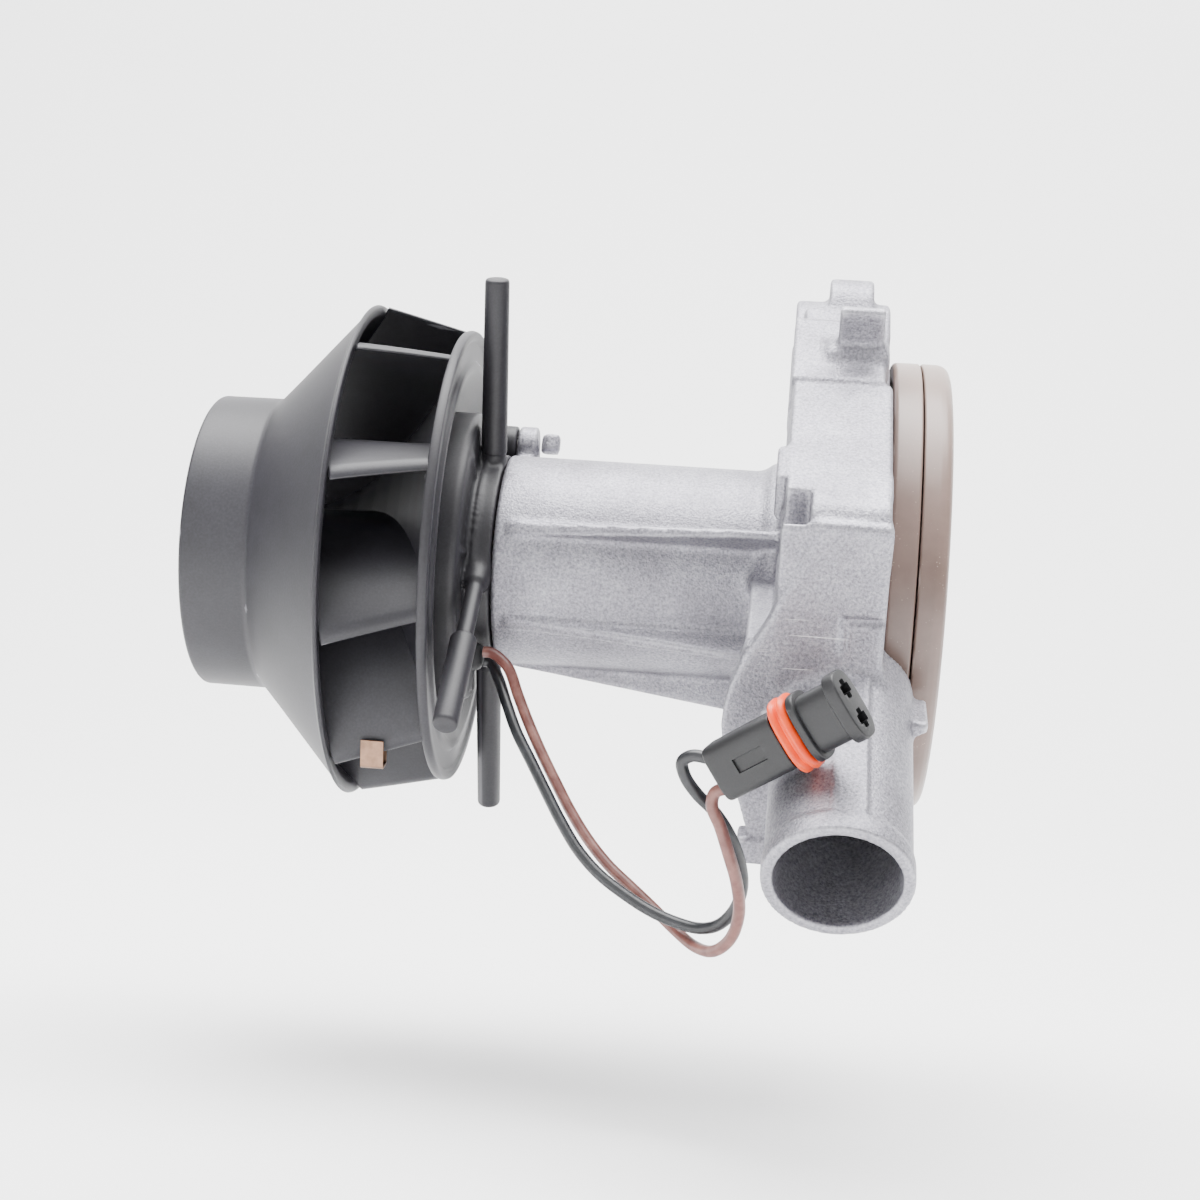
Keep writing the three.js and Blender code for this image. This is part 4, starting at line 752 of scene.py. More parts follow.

# ---- Connector seal --------------------------------------------------------------------------
# A moulded silicone rubber ring with two lips, pressed over the connector's nose against its
# rear part; shiny orange, its tone and gloss varying a little.
seal_rows = []
for start, lip in ((0.45, 1.75), (2.35, 1.75)):
    for t in np.linspace(0, 1, 9):
        bulge = lip * math.sin(math.pi * (0.18 + 0.64 * t)) - 0.3
        seal_rows.append((start + 1.6 * t, 3.1 + bulge, 5.3 + bulge, 2.9))
seal = loft("connector_seal_ring", [(0.45, 3.2, 5.4, 3.1)] + seal_rows + [(3.95, 3.2, 5.4, 3.1)], 96, 60)
silicone, tree = blank_material("silicone_rubber_orange")
place = add_node(tree, "ShaderNodeTexCoord").outputs["Object"]
smear = add_node(tree, "ShaderNodeTexNoise", Vector=place, Scale=300.0, Detail=4.0)
tone = add_node(tree, "ShaderNodeValToRGB", s0=smear.outputs["Fac"])
set_ramp(tone, (0.35, "#e23a0e"), (0.7, "#f4561f"))
wet = add_node(tree, "ShaderNodeMapRange", Value=smear.outputs["Fac"], To_Min=0.2, To_Max=0.48)
bump = add_node(tree, "ShaderNodeBump", Height=smear.outputs["Fac"], Strength=0.3, Distance=0.0001)
shader = add_node(tree, "ShaderNodeBsdfPrincipled", Base_Color=tone.outputs["Color"], IOR=1.43,
                  Roughness=wet.outputs["Result"], Subsurface_Weight=0.08, Normal=bump.outputs["Normal"])
add_node(tree, "ShaderNodeOutputMaterial", Surface=shader.outputs[0])
seal.data.materials.append(silicone)
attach(seal, "housing")
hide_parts("connector_seal")

# ---- Connector contacts ----------------------------------------------------------------------
# Stamped brass blades, one in each cavity, dull from the tin dip of their strip.
contacts = []
for name, side in (("positive", -1), ("negative", 1)):
    shift = np.array([0, 0, side * 2.75])
    rows = [(5.6, 0.28, 1.0, 6), (10.8, 0.28, 1.0, 6), (12.0, 0.12, 0.6, 6)]
    contact = loft(f"contact_{name}", rows, 24,
                   place=lambda local, shift=shift: PLUG_AT + (local + shift) @ plug_axes)
    contacts.append(contact)
    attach(contact, "housing")
    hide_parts(f"connector_contact_{name}")


def bare_metal(name, dark, light, rough, streak=(300.0, 300.0, 300.0), bump_mm=0.01):
    """A bare or plated metal skin: colour and gloss vary along fine drawn or ground streaks."""
    material, tree = blank_material(name)
    place = add_node(tree, "ShaderNodeTexCoord").outputs["Object"]
    lie = add_node(tree, "ShaderNodeMapping", Vector=place, Scale=streak)
    streaks = add_node(tree, "ShaderNodeTexNoise", Vector=lie.outputs[0], Scale=1.0, Detail=5.0,
                       Roughness=0.65)
    tone = add_node(tree, "ShaderNodeValToRGB", s0=streaks.outputs["Fac"])
    set_ramp(tone, (0.32, dark), (0.7, light))
    gloss = add_node(tree, "ShaderNodeMapRange", Value=streaks.outputs["Fac"], To_Min=rough - 0.1,
                     To_Max=rough + 0.15)
    bump = add_node(tree, "ShaderNodeBump", Height=streaks.outputs["Fac"], Strength=0.4,
                    Distance=bump_mm * MM)
    shader = add_node(tree, "ShaderNodeBsdfPrincipled", Base_Color=tone.outputs["Color"], Metallic=1.0,
                      Roughness=gloss.outputs["Result"], Normal=bump.outputs["Normal"])
    add_node(tree, "ShaderNodeOutputMaterial", Surface=shader.outputs[0])
    return material


contact_brass = bare_metal("tinned_brass", "#8d7748", "#b59a62", 0.38)
for contact in contacts:
    contact.data.materials.append(contact_brass)
lead, path, length = leads["black"]
lead, path, length = leads["brown"]

# ---- Motor end cover -------------------------------------------------------------------------
# Moulded black drum that closes the motor and holds the left bearing; three pegs stand out of its
# neck, and two ears are screwed to the barrel. One moulding, with small fillets everywhere.
COVER_LEFT, COVER_RIGHT, COVER_R, NECK_END = -89.5, -80.5, 29.5, -75.3
PEG_X = -77.6
PEGS = {
    "top": ((PEG_X, -8, 17), (PEG_X, -22, 54), 4),
    "front": ((PEG_X, -19, -2.5), (PEG_X, -49, -32.5), 20),
    "bottom": ((PEG_X, 2.5, -18.4), (PEG_X, 20, -52), 4),
}
LEAD_SPOT = (-25.5 * math.sin(math.radians(142)), 25.5 * math.cos(math.radians(142)))


def on_peg(peg, distance):
    """The point a distance in millimetres from a peg's tip, back towards its foot."""
    foot, tip, _ = PEGS[peg]
    foot, tip = np.array(foot, float), np.array(tip, float)
    return tip + (foot - tip) / np.linalg.norm(foot - tip) * distance


def level_place(y, z):
    """A place in the casting's tilted frame, seen in the untilted one."""
    return y * math.cos(TILT) - z * math.sin(TILT), y * math.sin(TILT) + z * math.cos(TILT)


cover = Casting(np.array([-91.5, -50, -51]), np.array([-73.0, 31, 53]), 0.5)
cover.add(ring(COVER_LEFT, COVER_RIGHT, 0, COVER_R, 1.6), fillet=0.5)
cover.add(ring(COVER_RIGHT - 2, NECK_END, 0, BARREL_R, 0.35), fillet=1.4)
cover.add(ring(-79.2, -78.4, 0, BARREL_R + 0.35, 0.2), fillet=0.4)
for peg in PEGS:
    foot = PEGS[peg][0]
    cover.add(rod(foot, on_peg(peg, 3), 1.7, edge=0.3), fillet=0.8)
    cover.add(rod(on_peg(peg, 3 + np.linalg.norm(np.subtract(*PEGS[peg][:2])) - 8), foot, 2.2, 2.6, 0.3),
              fillet=1.6)
for degrees in EARS:
    y, z = level_place(*on_casting(26, degrees))
    cover.add(rod([COVER_RIGHT - 2.5, y, z], [NECK_END, y, z], 4.2, edge=0.4), fillet=1.2)
for turn in range(0, 360, 45):
    y, z = on_casting(24.5, turn)
    cover.add(rod([COVER_RIGHT - 0.4, y * 0.9, z * 0.9], [COVER_RIGHT - 0.4, y * 1.13, z * 1.13],
                  0.9, edge=0.3), fillet=0.8)
cover.carve(ring(COVER_LEFT + 2, COVER_RIGHT - 2, 9.9, COVER_R - 2, 0.8), fillet=0.4)
cover.carve(ring(-84.5, -70, 0, 18.3, 0.1), ring(COVER_LEFT + 2.05, -70, 0, 8.3, 0.1), fillet=0.3)
cover.carve(ring(-95, -85, 0, 4.5, 0.1), fillet=0.4)
for degrees in EARS:
    y, z = level_place(*on_casting(26, degrees))
    cover.carve(rod([COVER_RIGHT - 4, y, z], [-70, y, z], 1.8, edge=0.1),
                rod([-95, y, z], [COVER_RIGHT - 2.5, y, z], 3.2, edge=0.1), fillet=0.3)
cover.carve(rod([COVER_RIGHT - 6, *LEAD_SPOT], [COVER_RIGHT + 3, *LEAD_SPOT], 2.5, edge=0.1), fillet=0.3)
cover_points, cover_faces = cover.skin()
end_cover = new_piece("motor_end_cover_moulding", cover_points * MM, cover_faces, 60)
thin_out(end_cover, min(1.0, 90000 / len(cover_faces)))
cover_plastic = moulded_plastic("pbt_end_cover", "#1a191d", "#252429", 0.5, 0.4, 0.03, "#57565c")
end_cover.data.materials.append(cover_plastic)
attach(end_cover, "housing")
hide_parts("motor_end_cover")

# ---- Guide sleeves ---------------------------------------------------------------------------
# Black plastic tubes pushed over the pegs, closed at their outer ends with a small chamfer; they
# taper very slightly so that they draw from the mould.
for peg in PEGS:
    foot, tip, bare = PEGS[peg]
    span = np.linalg.norm(np.subtract(tip, foot)) - bare
    stops = np.array([span, span, span - 0.3, span - 0.6, span * 0.66, span * 0.33, 0.8, 0.35, 0.1, 0.0, 0.0])
    radii = np.array([2.0, 2.35, 2.55, 2.6, 2.55, 2.48, 2.42, 2.34, 2.18, 1.95, 0.4])
    line = np.array([on_peg(peg, stop) for stop in stops])
    spread = np.linspace(0, 1e-5, len(line))[:, None] * (line[-1] - line[0])
    sleeve = tube(f"sleeve_{peg}", line + spread, radii, 64)
    bore = tube("bore", np.array([on_peg(peg, span + 1), on_peg(peg, 2.7)]), np.array([2.0, 2.0]), 48)
    cut_with(sleeve, [bore])
    sleeve.data.materials.append(cover_plastic)
    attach(sleeve, "housing")
    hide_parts(f"guide_sleeve_{peg}")

# ---- Lead grommet ----------------------------------------------------------------------------
# A small moulded rubber bush in the drum's right-hand wall, waisted where the wall grips it.
LOOP_STEP = 1.2


def lathe(name, profile, sides=160, sharp=35, round_r=0.0):
    """A body turned about the shaft from a loop of [x, radius] points; corners may be rounded by
    cutting each one back and laying a short arc across it."""
    loop = np.array(profile, float)
    if round_r:
        loop = round_corners(loop, round_r)
    loop = np.array([a + (b - a) * t for a, b in zip(loop, np.roll(loop, -1, 0))
                     for t in np.arange(0, 1, 1 / math.ceil(np.linalg.norm(b - a) / LOOP_STEP))])
    turns = np.linspace(0, 2 * math.pi, sides, endpoint=False)
    x, r = loop[:, 0][:, None], loop[:, 1][:, None]
    points = np.stack([x + 0 * turns, -r * np.sin(turns), r * np.cos(turns)], -1)
    count = len(loop)
    i, j = np.meshgrid(np.arange(count), np.arange(sides), indexing="ij")
    nxt, far = (i + 1) % count, (j + 1) % sides
    faces = np.stack([i * sides + j, i * sides + far, nxt * sides + far, nxt * sides + j], -1).reshape(-1, 4)
    x0, r0 = loop[:, 0], loop[:, 1]
    area = np.sum(x0 * np.roll(r0, -1) - np.roll(x0, -1) * r0)
    if area > 0:
        faces = faces[:, ::-1]
    return new_piece(name, points.reshape(-1, 3) * MM, faces, sharp)


def round_corners(loop, radius, steps=4):
    """Replaces each corner of a closed outline by a small arc that touches both its sides; the
    arc is a quadratic curve between the points where it meets them."""
    out = []
    for before, corner, after in zip(np.roll(loop, 1, 0), loop, np.roll(loop, -1, 0)):
        a, b = before - corner, after - corner
        la, lb = np.linalg.norm(a), np.linalg.norm(b)
        back = min(radius, 0.4 * la, 0.4 * lb)
        start, end = corner + a / la * back, corner + b / lb * back
        for t in np.linspace(0, 1, steps):
            out.append((1 - t) ** 2 * start + 2 * t * (1 - t) * corner + t * t * end)
    return np.array(out)


GROMMET_X = np.array([-84.4, -84.0, -83.0, -80.9, -80.2, -79.6, -78.4, -77.2, -76.5, -76.3, -76.3])
GROMMET_RADII = np.array([1.6, 2.1, 2.2, 2.2, 2.5, 2.85, 2.9, 2.75, 2.4, 2.0, 0.6])
spot = np.array([[x, *LEAD_SPOT] for x in GROMMET_X])
spot = spot + np.linspace(0, 1e-4, len(GROMMET_X))[:, None] * [1, 0, 0]
grommet = tube("grommet", spot, GROMMET_RADII, 64)
rubber = moulded_plastic("epdm_rubber", "#1d1d1f", "#29292b", 0.62, 0.25, 0.02, "#3d3d40", 0.35)
grommet.data.materials.append(rubber)
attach(grommet, "housing")
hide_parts("lead_grommet")

# ---- Fan shroud ------------------------------------------------------------------------------
# Thin moulded cone with a straight inlet collar: its rims are worn pale, the inlet lip is rounded
# inwards.
EYE_R, RIM_R, SHROUD_THICK = 29.9, 50.5, 1.7
FRONT_X, SHOULDER_X, RIM_X, BACK_X = -135.3, -122.0, -103.0, -84.7
slope = (RIM_R - EYE_R) / (RIM_X - SHOULDER_X)


def cone_line(x, inset):
    """Radius of the shroud's cone at a place along the shaft, moved inwards square to its skin."""
    return EYE_R + slope * (x - SHOULDER_X) - inset * math.hypot(1, slope)


shroud_loop = [(FRONT_X, EYE_R - 1.9), (FRONT_X, EYE_R - 0.5), (FRONT_X + 0.5, EYE_R)]
shroud_loop += [(-128.7, EYE_R + 0.05)]
shroud_loop += [(SHOULDER_X - 0.5, EYE_R + 0.1), (SHOULDER_X + 0.4, EYE_R + 0.55)]
shroud_loop += [(x, cone_line(x, 0)) for x in (-117, -112, -107, -104.2)]
shroud_loop += [(RIM_X - 0.7, RIM_R - 0.15), (RIM_X, RIM_R - 0.5)]
shroud_loop += [(RIM_X, cone_line(RIM_X, SHROUD_THICK) + 0.1)]
shroud_loop += [(x, cone_line(x, SHROUD_THICK)) for x in (-105, -112, -118)]
shroud_loop += [(SHOULDER_X + 1.4, cone_line(SHOULDER_X + 1.4, SHROUD_THICK))]
shroud_loop += [(SHOULDER_X - 0.9, EYE_R - 2.15)]
shroud_loop += [(-128.7, EYE_R - 2.2), (FRONT_X + 0.7, EYE_R - 2.2)]
shroud = lathe("shroud_moulding", shroud_loop, 240, 32, round_r=0.35)
fan_plastic = moulded_plastic("pa66_fan", "#1c1b20", "#29282e", 0.5, 0.45, 0.03, "#85848a")
shroud.data.materials.append(fan_plastic)
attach(shroud, "rotor")
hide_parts("fan_shroud")

# ---- Fan wheel -------------------------------------------------------------------------------
# Flared hub with a flat back ring and ten blades, one moulding. The blades sweep backwards from
# the hub, and carry the shroud welded to their outer edges; their free edges are rounded.
HUB_NOSE, BACK_RING_R = -118.0, 46.2
BACK_INNER = BACK_X - 1.7
BLADE_SWEEP, BLADE_ROOT, FIRST_BLADE, BLADES, BLADE_HALF = 58.0, 7.0, 41.0, 10, 0.9


def hub_radius(x):
    """The hub's flare: a parabola along the shaft from its nose to the back ring."""
    t = np.clip((np.asarray(x, float) - HUB_NOSE) / (BACK_INNER - HUB_NOSE), 0, 1)
    return 9 + (BACK_RING_R - 17) * t * t


def blade_angle(turn, radius):
    """Degrees about the shaft, from up towards the front, of a blade's middle at a radius."""
    return turn - BLADE_SWEEP * (1 - (radius - BLADE_ROOT) / (RIM_R - BLADE_ROOT))


hub_share = np.array([0, 0.08, 0.2, 0.32, 0.44, 0.56, 0.68, 0.78, 0.87, 0.94, 1])
hub_x = HUB_NOSE + (BACK_INNER - HUB_NOSE) * hub_share
hub_loop = [(HUB_NOSE, 2.8), (HUB_NOSE, 8.2)] + [(x, hub_radius(x)) for x in hub_x[1:]]
ring_loop = [(-0.9, 39.6), (-0.6, 41), (-0.6, BACK_RING_R - 0.3), (0.4, BACK_RING_R)]
ring_loop += [(1.4, BACK_RING_R - 0.3), (1.4, 44.4), (0.7, 43.9), (0.7, 40.2), (1.5, 39.6), (1.5, 38.2)]
hub_loop += [(BACK_X + x, radius) for x, radius in ring_loop]
hub_loop += [(x + 1.3, float(hub_radius(x)) - 1.9) for x in hub_x[::-1][1:-2]]
hub_loop += [(HUB_NOSE + 3, 7.2), (-93, 7.0), (-91.2, 6.9), (-91, 6.6), (-91, 2.8)]
hub = lathe("fan_hub_moulding", hub_loop, 200, 30, round_r=0.35)


def blade_rows():
    """Stations of the blade's radius share, closer together at its outer edge."""
    return np.concatenate([np.linspace(0, 0.9, 16), 1 - 0.1 * np.linspace(0.85, 0, 12) ** 2])


def blade_stations():
    """Stations along the blade's width, closer together at the leading edge."""
    return np.concatenate([[0, 0.004, 0.012, 0.025, 0.04], np.linspace(0.07, 0.93, 14), [0.97, 1.0]])


def make_blade(name, turn):
    """A blade as a closed skin: a grid over radius and width for each face, joined round its rim.
    x runs from the leading edge to the back ring, the radius from the hub to the outer edge."""
    share, width = blade_rows(), blade_stations()
    v, u = np.meshgrid(width, share, indexing="ij")
    x = HUB_NOSE + 0.9 + v * (BACK_X - 0.35 - HUB_NOSE - 0.9)
    edge_t = np.clip((x - RIM_X) / (BACK_X - RIM_X), 0, 1)
    free = RIM_R - 0.3 + (BACK_RING_R - RIM_R) * edge_t
    outer = np.where(x < RIM_X, cone_line(x, SHROUD_THICK - 0.3), free)
    foot = np.minimum(hub_radius(np.minimum(x, BACK_INNER)) - 0.8, 38.6)
    radius = foot + (outer - foot) * u
    from_edge = np.clip((outer - radius) / 0.9, 0, 1)
    from_front = np.clip((x - HUB_NOSE - 0.9) / 1.2, 0, 1)
    round_edge = np.where(x < RIM_X, 1.0, np.sqrt(from_edge * (2 - from_edge)))
    half = BLADE_HALF * (0.12 + 0.88 * round_edge) * (0.12 + 0.88 * np.sqrt(from_front * (2 - from_front)))
    half = half * (1 + 0.3 * np.exp(-(radius - foot) / 1.6))
    tilt = math.radians(BLADE_SWEEP) / (RIM_R - BLADE_ROOT) * radius
    middle = np.radians(blade_angle(turn, radius))
    swing = half * np.hypot(1, tilt) / radius
    skins = []
    for side in (1, -1):
        angle = middle + side * swing
        skins.append(np.stack([x, -radius * np.sin(angle), radius * np.cos(angle)], -1).reshape(-1, 3))
    rows, cols = v.shape
    i, j = np.meshgrid(np.arange(rows - 1), np.arange(cols - 1), indexing="ij")
    a, b, c, d = (i * cols + j, (i + 1) * cols + j, (i + 1) * cols + j + 1, i * cols + j + 1)
    top = np.stack([a, b, c, d], -1).reshape(-1, 4)
    count = rows * cols
    rim = [i * cols for i in range(rows)] + [(rows - 1) * cols + j for j in range(1, cols)]
    rim += [i * cols + cols - 1 for i in range(rows - 2, -1, -1)] + [j for j in range(cols - 2, 0, -1)]
    walls = [(p, p + count, q + count, q) for p, q in zip(rim, rim[1:] + rim[:1])]
    faces = np.concatenate([top, top[:, ::-1] + count, np.array(walls)[:, ::-1]])
    points = np.concatenate(skins)
    return points, faces


blade_points, blade_faces, first = [], [], 0
for number in range(BLADES):
    points, faces = make_blade("blade", FIRST_BLADE + 360 / BLADES * number)
    blade_points.append(points)
    blade_faces.append(faces + first)
    first += len(points)
blades = new_piece("fan_blades_moulding", np.concatenate(blade_points) * MM,
                   np.concatenate(blade_faces), 50)
for piece in (hub, blades):
    piece.data.materials.append(fan_plastic)
    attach(piece, "rotor")
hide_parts("fan_wheel")
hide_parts("fan_wheel")

# ---- Fan retaining washer --------------------------------------------------------------------
# Zinc-plated spring steel washer in front of the hub: a shallow dish that bites on the shaft.
washer = lathe("star_washer", [(-119.3, 2.8), (-119.3, 3.4), (-118.6, 5.2), (-118.55, 6.4), (-118.3, 6.45),
                               (-118.35, 5.2), (-118.9, 3.4), (-118.9, 2.8)], 96, 30, round_r=0.1)
zinc_steel = bare_metal("zinc_plated_steel", "#9a9a9c", "#c8c7c4", 0.3)
washer.data.materials.append(zinc_steel)
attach(washer, "rotor")
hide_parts("fan_retaining_washer")

# ---- Balance clip ----------------------------------------------------------------------------
# Folded phosphor bronze strip pushed over one blade's outer edge when the fan was balanced.
CLIP_X, CLIP_BLADE = -94.5, 3
clip_t = (CLIP_X - RIM_X) / (BACK_X - RIM_X + 1)
clip_r = RIM_R - 0.2 + (BACK_RING_R - RIM_R) * clip_t
clip_lean = math.atan(math.radians(BLADE_SWEEP) / (RIM_R - BLADE_ROOT) * clip_r)
outer_half = [(1.4, 2.4), (1.85, 2.0), (1.95, 1.5), (1.95, -3.4)]
inner_half = [(1.55, -3.4), (1.55, 1.4), (1.5, 1.7), (1.2, 1.95)]
outer_side = [(-side, height) for side, height in outer_half[::-1]] + outer_half
inner_side = inner_half + [(-side, height) for side, height in inner_half[::-1]]
section = round_corners(np.array(outer_side + inner_side, float), 0.15)
turn = math.radians(blade_angle(FIRST_BLADE + 360 / BLADES * CLIP_BLADE, clip_r))


def place_clip(x, side, height):
    """A point of the clip in its blade's frame: leaned with the blade, lifted to the blade's outer
    edge, then turned about the shaft to the blade's angle."""
    c, s = math.cos(clip_lean), math.sin(clip_lean)
    y, z = side * c - height * s, side * s + height * c
    z = z + clip_r
    return [x, y * math.cos(turn) - z * math.sin(turn), y * math.sin(turn) + z * math.cos(turn)]


ends = [(-2.2, 0.12), (-2.05, 0.0), (2.05, 0.0), (2.2, 0.12)]
clip_points = [place_clip(CLIP_X + x, *(p * (1 - inset * 0.05))) for x, inset in ends for p in section]
count = len(section)
faces = [(i * count + j, i * count + (j + 1) % count,
          (i + 1) * count + (j + 1) % count, (i + 1) * count + j)
         for i in range(len(ends) - 1) for j in range(count)]
half = count // 2
for j in range(half - 1):
    quad = (j, j + 1, count - 2 - j, count - 1 - j)
    faces += [quad[::-1], tuple(k + 3 * count for k in quad)]
clip = new_piece("balance_clip_strip", np.array(clip_points) * MM, faces, 40)
clip.data.materials.append(bare_metal("phosphor_bronze", "#735a4c", "#9a7b66", 0.34))
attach(clip, "rotor")
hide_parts("balance_clip")

# ---- Combustion-air wheel --------------------------------------------------------------------
# Two halves moulded in brown phenolic: the left one carries the vanes of the side channel and the
# right one closes it. Their parting line is open by a hair and their edges are worn paler; the upper part of
# the wheel is painted paler, a painted highlight from the light above.
WHEEL_R, SPLIT_LEFT, SPLIT_RIGHT, WHEEL_END = 44.7, 6.15, 6.45, 12.0
vaned = lathe("wheel_vaned_half", [
    (0.6, 2.8), (0.6, 8), (2.6, 9), (2.6, 24), (0.6, 25), (0.6, 27), (1.6, 27.2), (3.4, 28.4),
    (4.5, 30.4), (4.6, 34),
    (4.5, 37.6), (3.4, 39.6), (1.6, 40.8), (0.6, 41), (0.6, 43.4), (0.75, 44.2), (1.4, WHEEL_R),
    (SPLIT_LEFT - 0.3, WHEEL_R), (SPLIT_LEFT, WHEEL_R - 0.3), (SPLIT_LEFT, 2.8)], 200, 32, round_r=0.3)
VANES, VANE_HALF = 18, 0.6
vane_points, vane_faces = [], []
for number in range(VANES):
    turn = 2 * math.pi * number / VANES
    for x, edge in ((0.75, 0.35), (1.1, 0.0), (4.8, 0.0)):
        for radius, side in ((26.6, -1), (41.4, -1), (41.4, 1), (26.6, 1)):
            across = side * (VANE_HALF - edge)
            vane_points.append([x, -radius * math.sin(turn) + across * math.cos(turn),
                                radius * math.cos(turn) + across * math.sin(turn)])
    base = number * 12
    for i in range(2):
        here, after = base + i * 4, base + (i + 1) * 4
        vane_faces += [(here + j, here + (j + 1) % 4, after + (j + 1) % 4, after + j)
                       for j in range(4)]
    vane_faces += [(base + 3, base + 2, base + 1, base), (base + 8, base + 9, base + 10, base + 11)]
vanes = new_piece("wheel_vanes", np.array(vane_points) * MM, vane_faces, 40)
closing = lathe("wheel_cover_half", [
    (SPLIT_RIGHT, 2.8), (SPLIT_RIGHT, WHEEL_R - 0.3), (SPLIT_RIGHT + 0.3, WHEEL_R), (9.6, WHEEL_R),
    (10.6, WHEEL_R - 0.25),
    (11.4, WHEEL_R - 0.8), (11.85, WHEEL_R - 1.6), (WHEEL_END, WHEEL_R - 2.6), (WHEEL_END, 39.9),
     (11.6, 39.4),
    (8.8, 38), (8.4, 37.5), (8.4, 14.2), (8.8, 13.6), (10.2, 11.3), (10.4, 10.8), (10.4, 7.8), (8.6, 7.3),
    (8.4, 7.0), (8.4, 2.8)], 200, 32, round_r=0.3)


def phenolic(name, dark, light, top):
    """Brown phenolic moulding: semi-gloss, with short pale fibres lying in it, paler on its worn edges,
    and painted paler towards the top of the wheel: a painted highlight from the light above."""
    material, tree = blank_material(name)
    place = add_node(tree, "ShaderNodeTexCoord").outputs["Object"]
    cloud = add_node(tree, "ShaderNodeTexNoise", Vector=place, Scale=70.0, Detail=5.0, Roughness=0.6)
    base = add_node(tree, "ShaderNodeValToRGB", s0=cloud.outputs["Fac"])
    set_ramp(base, (0.35, dark), (0.68, light))
    fleck = add_node(tree, "ShaderNodeTexVoronoi", Vector=place, Scale=1400.0, Randomness=1.0)
    small = add_node(tree, "ShaderNodeMapRange", Value=fleck.outputs["Distance"], From_Min=0.2, From_Max=0.1)
    patchy = add_node(tree, "ShaderNodeTexNoise", Vector=place, Scale=420.0, Detail=2.0)
    some = add_node(tree, "ShaderNodeMapRange", Value=patchy.outputs["Fac"], From_Min=0.52,
                    From_Max=0.62, To_Max=0.55)
    fleck_share = add_node(tree, "ShaderNodeMath", {"operation": "MULTIPLY"}, s0=small.outputs["Result"],
                           s1=some.outputs["Result"])
    specked = add_node(tree, "ShaderNodeMix", {"data_type": "RGBA"}, s0=fleck_share.outputs[0],
                       s6=base.outputs["Color"], s7=colour("#b3a197"))
    # Painted highlight: the colour turns towards the top colour with height, so the upper part of the wheel
    # is paler, as if lit from above.
    height = add_node(tree, "ShaderNodeSeparateXYZ", s0=place)
    top_light_share = add_node(tree, "ShaderNodeMapRange", Value=height.outputs["Z"], From_Min=0.012, From_Max=0.043)
    with_painted_top_light = add_node(tree, "ShaderNodeMix", {"data_type": "RGBA"}, s0=top_light_share.outputs["Result"],
                      s6=specked.outputs[2], s7=colour(top))
    bend = add_node(tree, "ShaderNodeNewGeometry").outputs["Pointiness"]
    worn = add_node(tree, "ShaderNodeMapRange", Value=bend, From_Min=0.53, From_Max=0.6, To_Max=0.5)
    final = add_node(tree, "ShaderNodeMix", {"data_type": "RGBA"}, s0=worn.outputs["Result"],
                     s6=with_painted_top_light.outputs[2], s7=colour("#c0b0a6"))
    gloss = add_node(tree, "ShaderNodeMapRange", Value=cloud.outputs["Fac"], To_Min=0.26, To_Max=0.42)
    grain = add_node(tree, "ShaderNodeTexNoise", Vector=place, Scale=2600.0, Detail=2.0)
    bump = add_node(tree, "ShaderNodeBump", Height=grain.outputs["Fac"], Strength=0.35, Distance=0.00002)
    shader = add_node(tree, "ShaderNodeBsdfPrincipled", Base_Color=final.outputs[2], IOR=1.55,
                      Roughness=gloss.outputs["Result"], Normal=bump.outputs["Normal"])
    add_node(tree, "ShaderNodeOutputMaterial", Surface=shader.outputs[0])
    return material


# The last colour is the painted highlight laid on the upper part of the wheel.
brown = phenolic("phenolic_brown", "#6b5850", "#7c6860", "#8d7a71")
for piece, node in ((vaned, "combustion_air_wheel"), (vanes, "combustion_air_wheel"),
                    (closing, "combustion_air_wheel_cover")):
    piece.data.materials.append(brown)
    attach(piece, "rotor")
    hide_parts(node)

# ---- Wheel retaining washer ------------------------------------------------------------------
# Pressed steel washer, zinc plated, with a turned-up bore that grips the shaft's end.
wheel_washer = lathe("wheel_washer", [(8.75, 2.85), (8.75, 6.4), (9.15, 6.4), (9.3, 4.2), (9.45, 3.3),
                                      (9.45, 2.85)], 96, 30, round_r=0.12)
wheel_washer.data.materials.append(zinc_steel)
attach(wheel_washer, "rotor")
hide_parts("wheel_retaining_washer")

# ---- Motor shaft -----------------------------------------------------------------------------
# Centreless-ground silver steel, chamfered at both ends, with a dimple left by the lathe centre.
SHAFT_LEFT, SHAFT_RIGHT = -115.5, 9.8
shaft_x = np.array([0.9, 0.55, 0.0, 0.0, 0.25, 0.5, 40, 80]) + SHAFT_LEFT
shaft_x = np.concatenate([shaft_x, SHAFT_RIGHT - np.array([0.5, 0.25, 0.0, 0.0, 0.55, 0.9])])
shaft_radii = np.array([0.05, 0.45, 0.8, 2.0, 2.3, 2.48, 2.48, 2.48, 2.48, 2.3, 2.0, 0.8, 0.45, 0.05])
count = len(shaft_x)
turns = np.linspace(0, 2 * math.pi, 64, endpoint=False)
shaft_points = np.stack([shaft_x[:, None] + 0 * turns, -shaft_radii[:, None] * np.sin(turns),
                         shaft_radii[:, None] * np.cos(turns)], -1).reshape(-1, 3)
shaft = new_piece("motor_shaft_bar", shaft_points * MM, closed_grid(count, 64), 25)
close_ends(shaft, 64)
ground_steel = bare_metal("ground_steel", "#a9a9ad", "#d2d2d6", 0.22, (2200.0, 60.0, 60.0), 0.004)
shaft.data.materials.append(ground_steel)
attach(shaft, "rotor")
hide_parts("motor_shaft")

